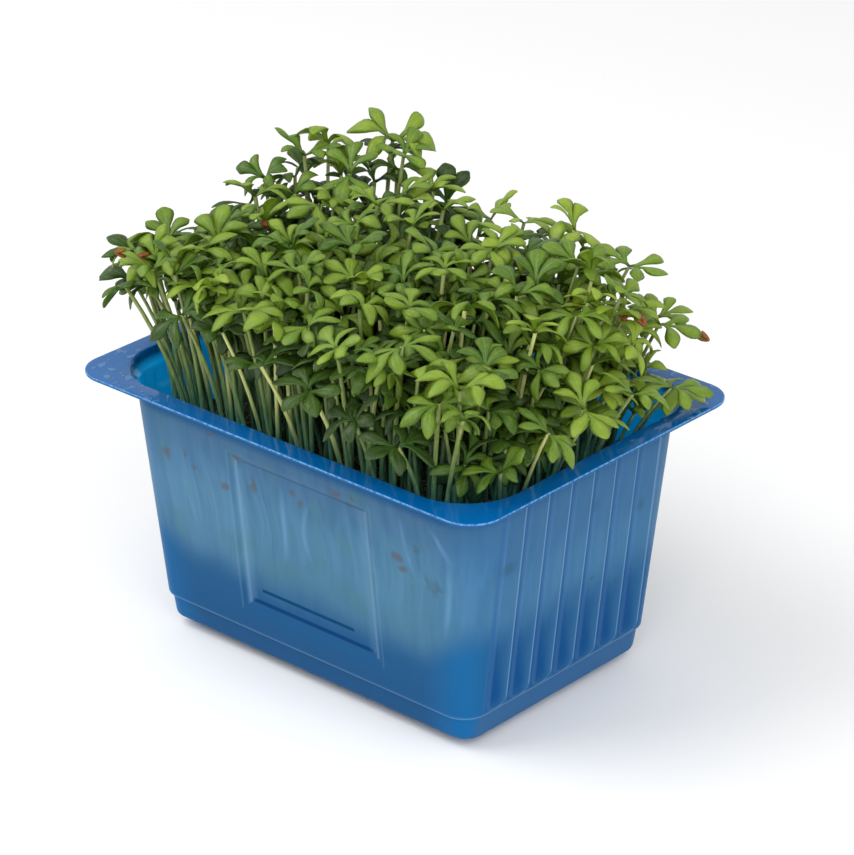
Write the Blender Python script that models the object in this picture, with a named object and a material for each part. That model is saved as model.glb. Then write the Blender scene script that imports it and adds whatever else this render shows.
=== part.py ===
"""Garden cress growing in a blue plastic tray with a flat rim.

Metres, +Z up. The origin is the middle of the underside of the tray's foot, and X runs
along the tray's long side.
"""

import math
import random

import bpy
import bmesh
from mathutils import Vector
from mathutils.bvhtree import BVHTree

# Tray: the sheet is drawn by its outer side, and insets run inwards from the rim's edge
TRAY_LENGTH = 0.140
TRAY_WIDTH = 0.104
TRAY_HEIGHT = 0.076
SHEET = 0.0009
RIM_WIDTH = 0.006
RIM_CORNER = 0.009
OPENING_CORNER = 0.0175
SHOULDER_DEPTH = 0.003
WALL_TOP_DEPTH = 0.004
WALL_TOP_INSET = 0.0080
WALL_TOP_CORNER = 0.0138
STEP_DEPTH = 0.0658
STEP_INSET = 0.0148
STEP_CORNER = 0.0070
PLINTH_TOP_DEPTH = 0.0666
PLINTH_TOP_INSET = 0.0159
PLINTH_TOP_CORNER = 0.0059
PLINTH_EDGE_DEPTH = 0.0722
PLINTH_EDGE_INSET = 0.0168
PLINTH_EDGE_CORNER = 0.0050
FOOT_DEPTH = 0.0030
PLINTH_FLOOR_INSET = 0.0178
PLINTH_FLOOR_CORNER = 0.0040
FOOT_HALF_LENGTH = 0.0500
FOOT_HALF_WIDTH = 0.0235
FOOT_CORNER = 0.0040
FOOT_DRAFT = 0.0010
CORNER_STEPS = 5

# Raised upright panels on each short side
PANEL_COUNT = 7
PANEL_PITCH = 0.0088
PANEL_WIDTH = 0.00745
PANEL_SLOPE = 0.0004
PANEL_RELIEF = 0.0006
PANEL_TOP_DEPTH = 0.0052
PANEL_BOTTOM_DEPTH = 0.0650
PANEL_END = 0.0016
PANEL_ROUNDING = 0.0012

# Shallow recess for a label on each long side
LABEL_LEFT = -0.0225
LABEL_RIGHT = 0.0275
LABEL_TOP_DEPTH = 0.0110
LABEL_BOTTOM_DEPTH = 0.0600
LABEL_BEVEL = 0.0026
LABEL_RELIEF = 0.0009

# Growing medium
GAP = 0.0003
MEDIUM_DEPTH = 0.018
MEDIUM_CORNER = 0.0115
MEDIUM_FLOOR_INSET = 0.0200

# Clumps of cress, each with a root plug in a hole of the medium
CLUMP_COLUMNS = 9
CLUMP_ROWS = 6
CLUMP_REACH_X = 0.0535
CLUMP_REACH_Y = 0.0355
CLUMP_JITTER = 0.0012
PLUG_SIDES = 5
PLUG_RADIUS = 0.0033
PLUG_DEPTH = 0.0060
PLUG_RISE = 0.0008
STEM_RING_RADIUS = 0.0013
STEM_ROOT_DEPTH = 0.0030

# Seedlings: heads at one height above the rim, a little higher at the back, lower at +X
SEED = 41
SEEDLINGS_PER_CLUMP = 3
CANOPY_MIDDLE = 0.037
CANOPY_SLOPE_Y = 0.003
CANOPY_FALL_X = 0.020
CANOPY_FALL_POWER = 4
# Crests and hollows of the canopy: place along X and Y, radius, and how much higher
CANOPY_PATCHES = (
    (-0.040, 0.036, 0.010, 0.007),
    (-0.018, 0.038, 0.017, -0.013),
    (0.008, 0.037, 0.011, -0.008),
    (0.008, 0.010, 0.014, -0.004),
    (0.030, 0.037, 0.010, -0.005),
    (0.046, 0.037, 0.013, -0.020),
    (0.056, 0.020, 0.010, -0.006),
    (-0.054, -0.008, 0.014, -0.009),
)
HEIGHT_SHARES = (1.0, 0.86, 0.72)
HEIGHT_SPREAD = 0.07
# Round this place by the -X -Y corner the short seedlings are nearly as tall as the others
BARE_PLACE = Vector((-0.035, -0.038, 0.0))
BARE_RADIUS = 0.030
BARE_LIFT = 0.65
EDGE_LEAN = 0.009
CLUMP_SPREAD = 0.0052
LEAN_JITTER = 0.0035
STEM_RADIUS = 0.00085
STEM_TAPER = 0.8
STEM_POWER = 1.7
STEM_STOPS = (0.0, 0.55, 1.0)
LEAFLET_LENGTH = 0.0107
LEAFLET_WIDTH = 0.0050
LEAFLET_WIDEST = 0.62
LEAFLET_FAN = math.radians(50)
LEAFLET_RIDGE = 0.0007
SIDE_LEAFLET = 0.88
NOTCH_RADIUS = 0.0014
HEAD_TOP = 0.0005
HEAD_BOTTOM = 0.0004
FIT_TRIES = 90
FIT_SHRINK = 0.30
CLEARANCE = 0.00025

# Seed coats left on leaf tips: clump, seedling and leaflet that each one sits on
SEED_COATS = ((0, 0, 0), (26, 1, 3), (49, 1, 4), (49, 0, 4))
COAT_LENGTH = 0.0032
COAT_WIDTH = 0.0019
COAT_SIDES = 6
COAT_BANDS = 4

BLUE_PLASTIC = ((0.010, 0.135, 0.400), 0.32)
WET_FIBRE = ((0.180, 0.130, 0.060), 0.90)
LEAF_GREEN = ((0.170, 0.290, 0.035), 0.50)
COAT_BROWN = ((0.260, 0.050, 0.015), 0.60)


# Blender helpers
def clear_scene():
    for item in list(bpy.data.objects):
        bpy.data.objects.remove(item)


def material(name, look):
    colour, roughness = look
    made = bpy.data.materials.new(name)
    made.use_nodes = True
    shader = made.node_tree.nodes["Principled BSDF"]
    shader.inputs["Base Color"].default_value = (*colour, 1.0)
    shader.inputs["Roughness"].default_value = roughness
    shader.inputs["Metallic"].default_value = 0.0
    return made


def mesh_object(name, points, faces, finish, collection=None):
    mesh = bpy.data.meshes.new(name)
    mesh.from_pydata([tuple(point) for point in points], [], faces)
    mesh.materials.append(finish)
    made = bpy.data.objects.new(name, mesh)
    (collection or bpy.context.scene.collection).objects.link(made)
    return made


def face_outwards(made):
    shape = bmesh.new()
    shape.from_mesh(made.data)
    bmesh.ops.recalc_face_normals(shape, faces=shape.faces)
    shape.to_mesh(made.data)
    shape.free()


# Rounded rectangles that every ring of the tray and the medium is made from
def corner_arcs(half_x, half_y, radius, height):
    """Four corner arcs, anticlockwise from the +X +Y corner."""
    arcs = []
    for quarter, (sx, sy) in enumerate(((1, 1), (-1, 1), (-1, -1), (1, -1))):
        arc = []
        for step in range(CORNER_STEPS + 1):
            angle = math.radians(90) * (quarter + step / CORNER_STEPS)
            x = sx * (half_x - radius) + radius * math.cos(angle)
            y = sy * (half_y - radius) + radius * math.sin(angle)
            arc.append(Vector((x, y, height)))
        arcs.append(arc)
    return arcs


def plain_ring(half_x, half_y, radius, height):
    return [point for arc in corner_arcs(half_x, half_y, radius, height) for point in arc]


def inset_ring(inset, radius, depth):
    return plain_ring(TRAY_LENGTH / 2 - inset, TRAY_WIDTH / 2 - inset, radius, TRAY_HEIGHT - depth)


def wall_shape(depth):
    """Inset and corner radius of the wall's outer side at a depth below the rim."""
    share = (depth - WALL_TOP_DEPTH) / (STEP_DEPTH - WALL_TOP_DEPTH)
    inset = WALL_TOP_INSET + share * (STEP_INSET - WALL_TOP_INSET)
    radius = WALL_TOP_CORNER + share * (STEP_CORNER - WALL_TOP_CORNER)
    return inset, radius


def panel_profile(relief, rounding):
    """Places across a short side, and how far each stands out, for all its panels."""
    profile = []
    for index in range(PANEL_COUNT):
        middle = (index - (PANEL_COUNT - 1) / 2) * PANEL_PITCH
        foot = PANEL_WIDTH / 2 - rounding
        crest = foot - PANEL_SLOPE
        profile += [(middle - foot, 0.0), (middle - crest, relief)]
        profile += [(middle + crest, relief), (middle + foot, 0.0)]
    return profile


def panel_ring(depth, relief, rounding=0.0):
    """A wall ring with the panels' points along both short sides."""
    inset, radius = wall_shape(depth)
    half_x = TRAY_LENGTH / 2 - inset
    height = TRAY_HEIGHT - depth
    arcs = corner_arcs(half_x, TRAY_WIDTH / 2 - inset, radius, height)
    profile = panel_profile(relief, rounding)
    right = [Vector((half_x + out, y, height)) for y, out in profile]
    left = [Vector((-half_x - out, -y, height)) for y, out in profile]
    return arcs[0] + arcs[1] + left + arcs[2] + arcs[3] + right


# Tray
def side_of(ring, start, count):
    return [ring[(start + step) % len(ring)] for step in range(count)]


def bridge(shape, lower, upper):
    """Close the band between two rings; a longer ring has its extra points on the short sides."""
    quarter = CORNER_STEPS + 1
    if len(lower) == len(upper):
        size = len(lower)
        for index in range(size):
            after = (index + 1) % size
            shape.faces.new((lower[index], lower[after], upper[after], upper[index]))
        return
    extra = (max(len(lower), len(upper)) - 4 * quarter) // 2
    starts = {}
    for ring in (lower, upper):
        added = extra if len(ring) > 4 * quarter else 0
        starts[id(ring)] = (0, quarter, 2 * quarter + added, 3 * quarter + added)
    for corner in range(4):
        low_at = starts[id(lower)][corner]
        high_at = starts[id(upper)][corner]
        for step in range(CORNER_STEPS):
            low = side_of(lower, low_at + step, 2)
            high = side_of(upper, high_at + step, 2)
            shape.faces.new((low[0], low[1], high[1], high[0]))
        short_side = corner in (1, 3)
        low_count = extra + 2 if short_side and len(lower) > 4 * quarter else 2
        high_count = extra + 2 if short_side and len(upper) > 4 * quarter else 2
        low = side_of(lower, low_at + CORNER_STEPS, low_count)
        high = side_of(upper, high_at + CORNER_STEPS, high_count)
        shape.faces.new(low + high[::-1])


def label_recess(shape, side):
    """Swap a long side's flat face for one with a sunken panel; side is -1 or 1 along Y."""
    flats = [face for face in shape.faces
             if len(face.verts) == 4 and face.calc_center_median().y * side > 0
             and abs(face.calc_center_median().x) < LABEL_BEVEL]
    wall = max(flats, key=lambda face: face.calc_area())
    corners = sorted(wall.verts, key=lambda point: (point.co.z, point.co.x))
    low_left, low_right, high_left, high_right = corners
    shape.faces.remove(wall)

    def on_wall(x, depth, sunk):
        inset, _ = wall_shape(depth)
        return shape.verts.new((-side * x, side * (TRAY_WIDTH / 2 - inset - sunk), TRAY_HEIGHT - depth))

    def frame(margin, sunk):
        left, right = LABEL_LEFT + margin, LABEL_RIGHT - margin
        if side > 0:
            left, right = right, left
        top, bottom = LABEL_TOP_DEPTH + margin, LABEL_BOTTOM_DEPTH - margin
        return [on_wall(left, bottom, sunk), on_wall(right, bottom, sunk),
                on_wall(right, top, sunk), on_wall(left, top, sunk)]

    outline = [low_left, low_right, high_right, high_left]
    edge = frame(0.0, 0.0)
    floor = frame(LABEL_BEVEL, LABEL_RELIEF)
    for outer, inner in ((outline, edge), (edge, floor)):
        for index in range(4):
            after = (index + 1) % 4
            shape.faces.new((outer[index], outer[after], inner[after], inner[index]))
    shape.faces.new(floor)


def tray_rings():
    foot_top = TRAY_HEIGHT - FOOT_DEPTH
    return [
        inset_ring(0.0, RIM_CORNER, SHEET),
        inset_ring(RIM_WIDTH - SHEET, OPENING_CORNER + SHEET, SHEET),
        inset_ring(RIM_WIDTH - SHEET / 2, OPENING_CORNER + SHEET / 2, SHOULDER_DEPTH),
        inset_ring(WALL_TOP_INSET, WALL_TOP_CORNER, WALL_TOP_DEPTH),
        panel_ring(PANEL_TOP_DEPTH, 0.0),
        panel_ring(PANEL_TOP_DEPTH + PANEL_END, PANEL_RELIEF),
        panel_ring(PANEL_BOTTOM_DEPTH - PANEL_END, PANEL_RELIEF),
        panel_ring(PANEL_BOTTOM_DEPTH, 0.0, PANEL_ROUNDING),
        inset_ring(STEP_INSET, STEP_CORNER, STEP_DEPTH),
        inset_ring(PLINTH_TOP_INSET, PLINTH_TOP_CORNER, PLINTH_TOP_DEPTH),
        inset_ring(PLINTH_EDGE_INSET, PLINTH_EDGE_CORNER, PLINTH_EDGE_DEPTH),
        inset_ring(PLINTH_FLOOR_INSET, PLINTH_FLOOR_CORNER, foot_top),
        plain_ring(FOOT_HALF_LENGTH, FOOT_HALF_WIDTH, FOOT_CORNER, FOOT_DEPTH),
        plain_ring(FOOT_HALF_LENGTH - FOOT_DRAFT, FOOT_HALF_WIDTH - FOOT_DRAFT,
                   FOOT_CORNER - FOOT_DRAFT, 0.0),
    ]


def make_tray():
    shape = bmesh.new()
    rings = [[shape.verts.new(point) for point in ring] for ring in tray_rings()]
    for upper, lower in zip(rings, rings[1:]):
        bridge(shape, lower, upper)
    shape.faces.new(rings[-1][::-1])
    label_recess(shape, -1)
    label_recess(shape, 1)
    bmesh.ops.recalc_face_normals(shape, faces=shape.faces)
    foot = min(shape.faces, key=lambda face: face.calc_center_median().z)
    if foot.normal.z > 0:
        bmesh.ops.reverse_faces(shape, faces=shape.faces)
    mesh = bpy.data.meshes.new("tray")
    shape.to_mesh(mesh)
    shape.free()
    mesh.materials.append(material("blue_plastic", BLUE_PLASTIC))
    tray = bpy.data.objects.new("tray", mesh)
    bpy.context.scene.collection.objects.link(tray)
    sheet = tray.modifiers.new("sheet", "SOLIDIFY")
    sheet.thickness = SHEET
    sheet.offset = -1.0
    sheet.use_even_offset = True
    return tray


# Growing medium
def loft(name, rings, finish):
    points = [point for ring in rings for point in ring]
    size = len(rings[0])
    faces = [list(range(size)), list(range(len(points) - size, len(points)))[::-1]]
    for band in range(len(rings) - 1):
        for index in range(size):
            after = (index + 1) % size
            here, there = band * size, (band + 1) * size
            faces.append((here + after, here + index, there + index, there + after))
    made = mesh_object(name, points, faces, finish)
    face_outwards(made)
    return made


def make_medium(places, finish):
    side_gap = SHEET + LABEL_RELIEF + GAP
    floor = TRAY_HEIGHT - FOOT_DEPTH - SHEET - GAP
    step_inset, step_radius = wall_shape(STEP_DEPTH - 2 * SHEET)
    top_inset, _ = wall_shape(MEDIUM_DEPTH)
    rings = [
        inset_ring(top_inset + side_gap, MEDIUM_CORNER, MEDIUM_DEPTH),
        inset_ring(step_inset + side_gap, step_radius - SHEET, STEP_DEPTH - 2 * SHEET),
        inset_ring(PLINTH_TOP_INSET + side_gap, PLINTH_TOP_CORNER - SHEET, STEP_DEPTH),
        inset_ring(PLINTH_EDGE_INSET + side_gap, PLINTH_EDGE_CORNER - SHEET, floor - SHEET),
        inset_ring(MEDIUM_FLOOR_INSET, PLINTH_FLOOR_CORNER - SHEET, floor),
    ]
    medium = loft("growing_medium", rings, finish)
    holes = make_holes(places, finish)
    cut = medium.modifiers.new("holes", "BOOLEAN")
    cut.operation = "DIFFERENCE"
    cut.solver = "EXACT"
    cut.object = holes
    return medium


def prism(place, radius, low, high, turn):
    points = []
    for height in (low, high):
        for side in range(PLUG_SIDES):
            angle = turn + math.tau * side / PLUG_SIDES
            points.append(Vector((place.x + radius * math.cos(angle),
                                  place.y + radius * math.sin(angle), height)))
    faces = [list(range(PLUG_SIDES))[::-1], list(range(PLUG_SIDES, 2 * PLUG_SIDES))]
    for side in range(PLUG_SIDES):
        after = (side + 1) % PLUG_SIDES
        faces.append((side, after, PLUG_SIDES + after, PLUG_SIDES + side))
    return points, faces


def make_holes(places, finish):
    """One cutter with a prism for every root plug."""
    top = TRAY_HEIGHT - MEDIUM_DEPTH
    points, faces = [], []
    for place in places:
        turn = place.x * place.y / PLUG_RADIUS ** 2
        more, rims = prism(place, PLUG_RADIUS + GAP / math.cos(math.pi / PLUG_SIDES),
                           top - PLUG_DEPTH - GAP, top + PLUG_DEPTH, turn)
        faces += [[len(points) + index for index in rim] for rim in rims]
        points += more
    cutter = mesh_object("hole_cutter", points, faces, finish)
    cutter.hide_render = True
    cutter.display_type = "WIRE"
    return cutter


# Placing the clumps
def clump_places():
    """A jittered grid over the medium without its four corners."""
    places = []
    draw = random.Random(SEED)
    for row in range(CLUMP_ROWS):
        for column in range(CLUMP_COLUMNS):
            if row in (0, CLUMP_ROWS - 1) and column in (0, CLUMP_COLUMNS - 1):
                continue
            across = 2 * column / (CLUMP_COLUMNS - 1) - 1
            along = 2 * row / (CLUMP_ROWS - 1) - 1
            x = CLUMP_REACH_X * across + draw.uniform(-CLUMP_JITTER, CLUMP_JITTER) * (1 - across ** 2)
            y = CLUMP_REACH_Y * along + draw.uniform(-CLUMP_JITTER, CLUMP_JITTER) * (1 - along ** 2)
            places.append(Vector((x, y, TRAY_HEIGHT - MEDIUM_DEPTH)))
    return places


def canopy_height(place):
    """Height of the leaves above the rim over a point of the medium."""
    across = place.x / CLUMP_REACH_X
    along = place.y / CLUMP_REACH_Y
    height = CANOPY_MIDDLE + CANOPY_SLOPE_Y * along
    height -= CANOPY_FALL_X * max(across, 0.0) ** CANOPY_FALL_POWER
    for x, y, radius, rise in CANOPY_PATCHES:
        height += rise * math.exp(-((place.x - x) ** 2 + (place.y - y) ** 2) / radius ** 2)
    return height


def bareness(place):
    """How far the short seedlings of a place are lifted towards full height."""
    away = math.hypot(place.x - BARE_PLACE.x, place.y - BARE_PLACE.y)
    return BARE_LIFT * math.exp(-(away / BARE_RADIUS) ** 2)


# One seedling: a bent stem that ends in a pair of seed leaves, each cut into three leaflets
def draw_seedling(place, member, draw, shrink):
    """Draw the free measures of one seedling of a clump."""
    turn = math.tau * (member / SEEDLINGS_PER_CLUMP) + draw.uniform(-0.5, 0.5)
    out = Vector((math.cos(turn), math.sin(turn), 0.0))
    edge = Vector((place.x / CLUMP_REACH_X, place.y / CLUMP_REACH_Y, 0.0))
    lean = EDGE_LEAN * edge * min(edge.length, 1.0) + CLUMP_SPREAD * out
    lean += Vector((draw.uniform(-LEAN_JITTER, LEAN_JITTER), draw.uniform(-LEAN_JITTER, LEAN_JITTER), 0.0))
    share = HEIGHT_SHARES[member] + draw.uniform(-HEIGHT_SPREAD, HEIGHT_SPREAD)
    share += (1.0 - share) * bareness(place)
    tilt = Vector((draw.uniform(-0.35, 0.35), draw.uniform(-0.35, 0.35), 0.0))
    return {
        "foot": place + STEM_RING_RADIUS * out - Vector((0.0, 0.0, STEM_ROOT_DEPTH)),
        "height": STEM_ROOT_DEPTH + (MEDIUM_DEPTH + canopy_height(place)) * share,
        "lean": lean,
        "axis": (Vector((0.0, 0.0, 1.0)) + 18.0 * lean + tilt).normalized(),
        "turn": draw.uniform(0.0, math.tau),
        "size": draw.uniform(0.90, 1.12) * (1.0 - shrink),
        "rise": (draw.uniform(-0.15, 0.75), draw.uniform(-0.15, 0.75)),
        "skew": [draw.uniform(-0.06, 0.06) for _ in range(6)],
        "droop": [draw.uniform(-0.15, 0.25) for _ in range(6)],
    }


def stem_point(plant, share):
    rise = Vector((0.0, 0.0, plant["height"] * share))
    return plant["foot"] + rise + plant["lean"] * share ** STEM_POWER


def leaflet_frame(plant, index):
    """Direction, sideways direction, length and rise of one of the six leaflets."""
    axis = plant["axis"]
    level = axis.orthogonal().normalized()
    cross = axis.cross(level)
    member = index % 3 - 1
    turn = plant["turn"] + math.pi * (index // 3) + LEAFLET_FAN * member + plant["skew"][index]
    out = level * math.cos(turn) + cross * math.sin(turn)
    side = axis.cross(out)
    length = LEAFLET_LENGTH * plant["size"] * (1.0 if member == 0 else SIDE_LEAFLET)
    rise = plant["rise"][index // 3] - (0.0 if member == 0 else 0.12)
    return out, side, length, rise, turn


def leaflet_points(plant, index):
    """Right side, tip, left side and ridge of one leaflet."""
    out, side, length, rise, _ = leaflet_frame(plant, index)
    axis = plant["axis"]
    head = stem_point(plant, 1.0)
    reach = LEAFLET_WIDEST * length
    middle = head + out * reach * math.cos(rise) + axis * reach * math.sin(rise)
    fall = rise - plant["droop"][index]
    rest = (1.0 - LEAFLET_WIDEST) * length
    tip = middle + out * rest * math.cos(fall) + axis * rest * math.sin(fall)
    half = side * (LEAFLET_WIDTH / 2 * plant["size"])
    return middle - half, tip, middle + half, middle + axis * LEAFLET_RIDGE


def seedling_mesh(plant):
    """Closed mesh of a seedling: stem rings, then leaflet rims, ridges and the head's top."""
    axis = plant["axis"]
    level = axis.orthogonal().normalized()
    cross = axis.cross(level)
    head = stem_point(plant, 1.0)
    points, faces = [], []
    for share in STEM_STOPS:
        radius = STEM_RADIUS * (1.0 + (STEM_TAPER - 1.0) * share)
        middle = stem_point(plant, share) - (axis * HEAD_BOTTOM if share == 1.0 else Vector())
        for side in range(3):
            angle = plant["turn"] + math.tau * side / 3
            points.append(middle + radius * (level * math.cos(angle) + cross * math.sin(angle)))
    for band in range(len(STEM_STOPS) - 1):
        for side in range(3):
            after = (side + 1) % 3
            here, there = 3 * band, 3 * band + 3
            faces.append((here + side, here + after, there + after))
            faces.append((here + side, there + after, there + side))
    faces.append((2, 1, 0))
    ring = 3 * (len(STEM_STOPS) - 1)
    turns = [leaflet_frame(plant, index)[4] for index in range(6)]
    notches = []
    for index in range(6):
        before = turns[index - 1] - (math.tau if index == 0 else 0.0)
        angle = (before + turns[index]) / 2
        rise = (plant["rise"][(index - 1) % 6 // 3] + plant["rise"][index // 3]) / 2
        out = level * math.cos(angle) + cross * math.sin(angle)
        notches.append(len(points))
        points.append(head + NOTCH_RADIUS * (out * math.cos(rise) + axis * math.sin(rise)))
    top = len(points)
    points.append(head + axis * HEAD_TOP)
    nearest = (0, 0, 0, 1, 1, 2)
    for index in range(6):
        after = notches[(index + 1) % 6]
        notch = notches[index]
        right = len(points)
        tip, left, ridge = right + 1, right + 2, right + 3
        points += leaflet_points(plant, index)
        faces += [(ridge, notch, right), (ridge, right, tip), (ridge, tip, left),
                  (ridge, left, after), (ridge, after, top), (ridge, top, notch)]
        faces += [(right, notch, left), (tip, right, left), (left, notch, after)]
        here, there = ring + nearest[index], ring + nearest[(index + 1) % 6]
        faces.append((notch, here, after))
        if here != there:
            faces.append((after, here, there))
    return points, faces


def swollen(points, faces):
    """The same points moved outwards by the clearance that neighbours keep."""
    shape = bmesh.new()
    corners = [shape.verts.new(point) for point in points]
    for face in faces:
        shape.faces.new([corners[index] for index in face])
    shape.normal_update()
    moved = [corner.co + corner.normal * CLEARANCE for corner in corners]
    shape.free()
    return moved


def box_of(points):
    low = [min(point[axis] for point in points) for axis in range(3)]
    high = [max(point[axis] for point in points) for axis in range(3)]
    return low, high


def boxes_meet(one, other):
    return all(one[0][axis] <= other[1][axis] and other[0][axis] <= one[1][axis] for axis in range(3))


def grow_seedlings(places, tray_tree):
    """Fit seedlings round each place, tall ones first, none crossing another or the tray."""
    grown, standing = [], []
    for member in range(SEEDLINGS_PER_CLUMP):
        for number, place in enumerate(places):
            draw = random.Random(SEED + 1000 * member + number)
            for attempt in range(FIT_TRIES):
                plant = draw_seedling(place, member, draw, FIT_SHRINK * attempt / FIT_TRIES)
                points, faces = seedling_mesh(plant)
                outside = swollen(points, faces)
                tree = BVHTree.FromPolygons(outside, faces)
                box = box_of(outside)
                near = (other for reach, other in standing if boxes_meet(box, reach))
                if tree.overlap(tray_tree) or any(tree.overlap(other) for other in near):
                    continue
                grown.append((number, member, plant))
                standing.append((box_of(points), BVHTree.FromPolygons(points, faces)))
                break
    return grown


# Clumps: seedlings joined to the root plug that holds them
def make_clump(name, place, plants, finish):
    top = TRAY_HEIGHT - MEDIUM_DEPTH
    turn = place.x * place.y / PLUG_RADIUS ** 2
    points, faces = prism(place, PLUG_RADIUS, top - PLUG_DEPTH, top + PLUG_RISE, turn)
    clump = mesh_object(name, points, faces, finish)
    parts = bpy.data.collections.new(name + "_parts")
    bpy.context.scene.collection.children.link(parts)
    for plant in plants:
        points, faces = seedling_mesh(plant)
        face_outwards(mesh_object(name + "_seedling", points, faces, finish, parts))
    union = clump.modifiers.new("seedlings", "BOOLEAN")
    union.operation = "UNION"
    union.solver = "MANIFOLD"
    union.operand_type = "COLLECTION"
    union.collection = parts
    graph = bpy.context.evaluated_depsgraph_get()
    joined = bpy.data.meshes.new_from_object(clump.evaluated_get(graph))
    clump.modifiers.clear()
    clump.data = joined
    for item in list(parts.objects):
        bpy.data.objects.remove(item)
    bpy.data.collections.remove(parts)
    return clump


# Seed coats still sitting on leaf tips
def make_seed_coat(name, plant, leaflet, finish):
    out, side, _, _, _ = leaflet_frame(plant, leaflet)
    _, tip, _, ridge = leaflet_points(plant, leaflet)
    along = (tip - ridge).normalized()
    across = along.cross(side).normalized()
    middle = tip + along * (COAT_LENGTH / 2 + GAP)
    points = [middle - along * COAT_LENGTH / 2]
    for band in range(1, COAT_BANDS):
        angle = math.pi * band / COAT_BANDS
        level = middle - along * COAT_LENGTH / 2 * math.cos(angle)
        radius = COAT_WIDTH / 2 * math.sin(angle)
        for step in range(COAT_SIDES):
            turn = math.tau * step / COAT_SIDES
            points.append(level + radius * (side * math.cos(turn) + across * math.sin(turn)))
    points.append(middle + along * COAT_LENGTH / 2)
    last = len(points) - 1
    faces = []
    for step in range(COAT_SIDES):
        after = (step + 1) % COAT_SIDES
        faces.append((0, 1 + step, 1 + after))
        for band in range(COAT_BANDS - 2):
            here = 1 + band * COAT_SIDES
            there = here + COAT_SIDES
            faces.append((here + step, there + step, there + after, here + after))
        faces.append((last, last - COAT_SIDES + after, last - COAT_SIDES + step))
    face_outwards(mesh_object(name, points, faces, finish))


def main():
    clear_scene()
    tray = make_tray()
    graph = bpy.context.evaluated_depsgraph_get()
    tray_tree = BVHTree.FromObject(tray, graph)
    places = clump_places()
    grown = grow_seedlings(places, tray_tree)
    make_medium(places, material("wet_fibre", WET_FIBRE))
    green = material("leaf_green", LEAF_GREEN)
    for number, place in enumerate(places):
        plants = [plant for owner, _, plant in grown if owner == number]
        if plants:
            make_clump(f"cress_clump_{number + 1:02d}", place, plants, green)
    brown = material("seed_coat_brown", COAT_BROWN)
    plants = {(owner, member): plant for owner, member, plant in grown}
    for count, (owner, member, leaflet) in enumerate(SEED_COATS):
        make_seed_coat(f"seed_coat_{count + 1}", plants[owner, member], leaflet, brown)


main()
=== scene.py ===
"""Garden cress in a blue plastic tray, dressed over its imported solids."""

import math
import random

import bpy
import bmesh
from bpy.props import FloatProperty, FloatVectorProperty, IntProperty, PointerProperty
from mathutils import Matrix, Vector, noise
from mathutils.bvhtree import BVHTree


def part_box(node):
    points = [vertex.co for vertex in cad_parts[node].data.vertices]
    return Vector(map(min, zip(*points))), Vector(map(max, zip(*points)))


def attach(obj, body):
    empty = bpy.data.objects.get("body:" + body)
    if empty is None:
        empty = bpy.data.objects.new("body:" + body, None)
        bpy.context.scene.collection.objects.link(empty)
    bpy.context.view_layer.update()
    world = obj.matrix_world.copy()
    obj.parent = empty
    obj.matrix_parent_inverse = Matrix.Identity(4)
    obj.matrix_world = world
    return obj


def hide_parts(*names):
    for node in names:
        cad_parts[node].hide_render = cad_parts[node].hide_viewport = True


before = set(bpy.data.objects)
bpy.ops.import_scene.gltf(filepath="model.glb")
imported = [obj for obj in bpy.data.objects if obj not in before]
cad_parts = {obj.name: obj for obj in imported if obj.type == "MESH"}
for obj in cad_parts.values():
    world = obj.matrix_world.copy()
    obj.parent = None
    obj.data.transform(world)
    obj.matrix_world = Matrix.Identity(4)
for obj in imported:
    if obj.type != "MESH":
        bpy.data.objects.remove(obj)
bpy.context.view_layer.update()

bl_info = {
    "name": "Microgreens tray",
    "version": (1, 0, 0),
    "blender": (4, 5, 0),
    "location": "3D View > Sidebar > Microgreens",
    "description": "Builds a tray of garden cress and its studio",
    "category": "Add Mesh",
}

MM = 0.001


def srgb(red, green, blue):
    """Linear colour of an 8-bit display colour."""
    linear = []
    for value in (red, green, blue):
        share = value / 255
        linear.append(share / 12.92 if share <= 0.04045 else ((share + 0.055) / 1.055) ** 2.4)
    return tuple(linear)


# Tray measures, the same as the solid's: insets run inwards from the rim's edge
TRAY_LENGTH = 0.140
TRAY_WIDTH = 0.104
TRAY_HEIGHT = 0.076
SHEET = 0.0009
RIM_WIDTH = 0.006
RIM_CORNER = 0.009
OPENING_CORNER = 0.0175
SHOULDER_DEPTH = 0.003
WALL_TOP_DEPTH = 0.004
WALL_TOP_INSET = 0.0080
WALL_TOP_CORNER = 0.0138
STEP_DEPTH = 0.0658
STEP_INSET = 0.0148
STEP_CORNER = 0.0070
PLINTH_TOP_DEPTH = 0.0666
PLINTH_TOP_INSET = 0.0159
PLINTH_TOP_CORNER = 0.0059
PLINTH_INSET = 0.0169
PLINTH_CORNER = 0.0049
FOOT_DEPTH = 0.0030
FOOT_INSET_X = 0.0200
FOOT_INSET_Y = 0.0285
FOOT_CORNER = 0.0040
FOOT_DRAFT = 0.0010
CORNER_STEPS = 14
STRAIGHT_HALF_X = TRAY_LENGTH / 2 - WALL_TOP_INSET - WALL_TOP_CORNER
STRAIGHT_HALF_Y = TRAY_WIDTH / 2 - WALL_TOP_INSET - WALL_TOP_CORNER

PANEL_COUNT = 7
PANEL_PITCH = 0.0088
PANEL_WIDTH = 0.00745
PANEL_SLOPE = 0.0004
PANEL_RELIEF = 0.0006
PANEL_TOP_DEPTH = 0.0052
PANEL_BOTTOM_DEPTH = 0.0650
PANEL_CORNER = 0.0024
# Where the mesh has points, measured in from a panel's edge
PANEL_STOPS = (0.0, PANEL_SLOPE / 2, PANEL_SLOPE, 0.0009, 0.0016, 0.0026)
PANEL_FOOT_ROWS = 8
PANEL_FOOT_SPACING = 0.0004

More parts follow.
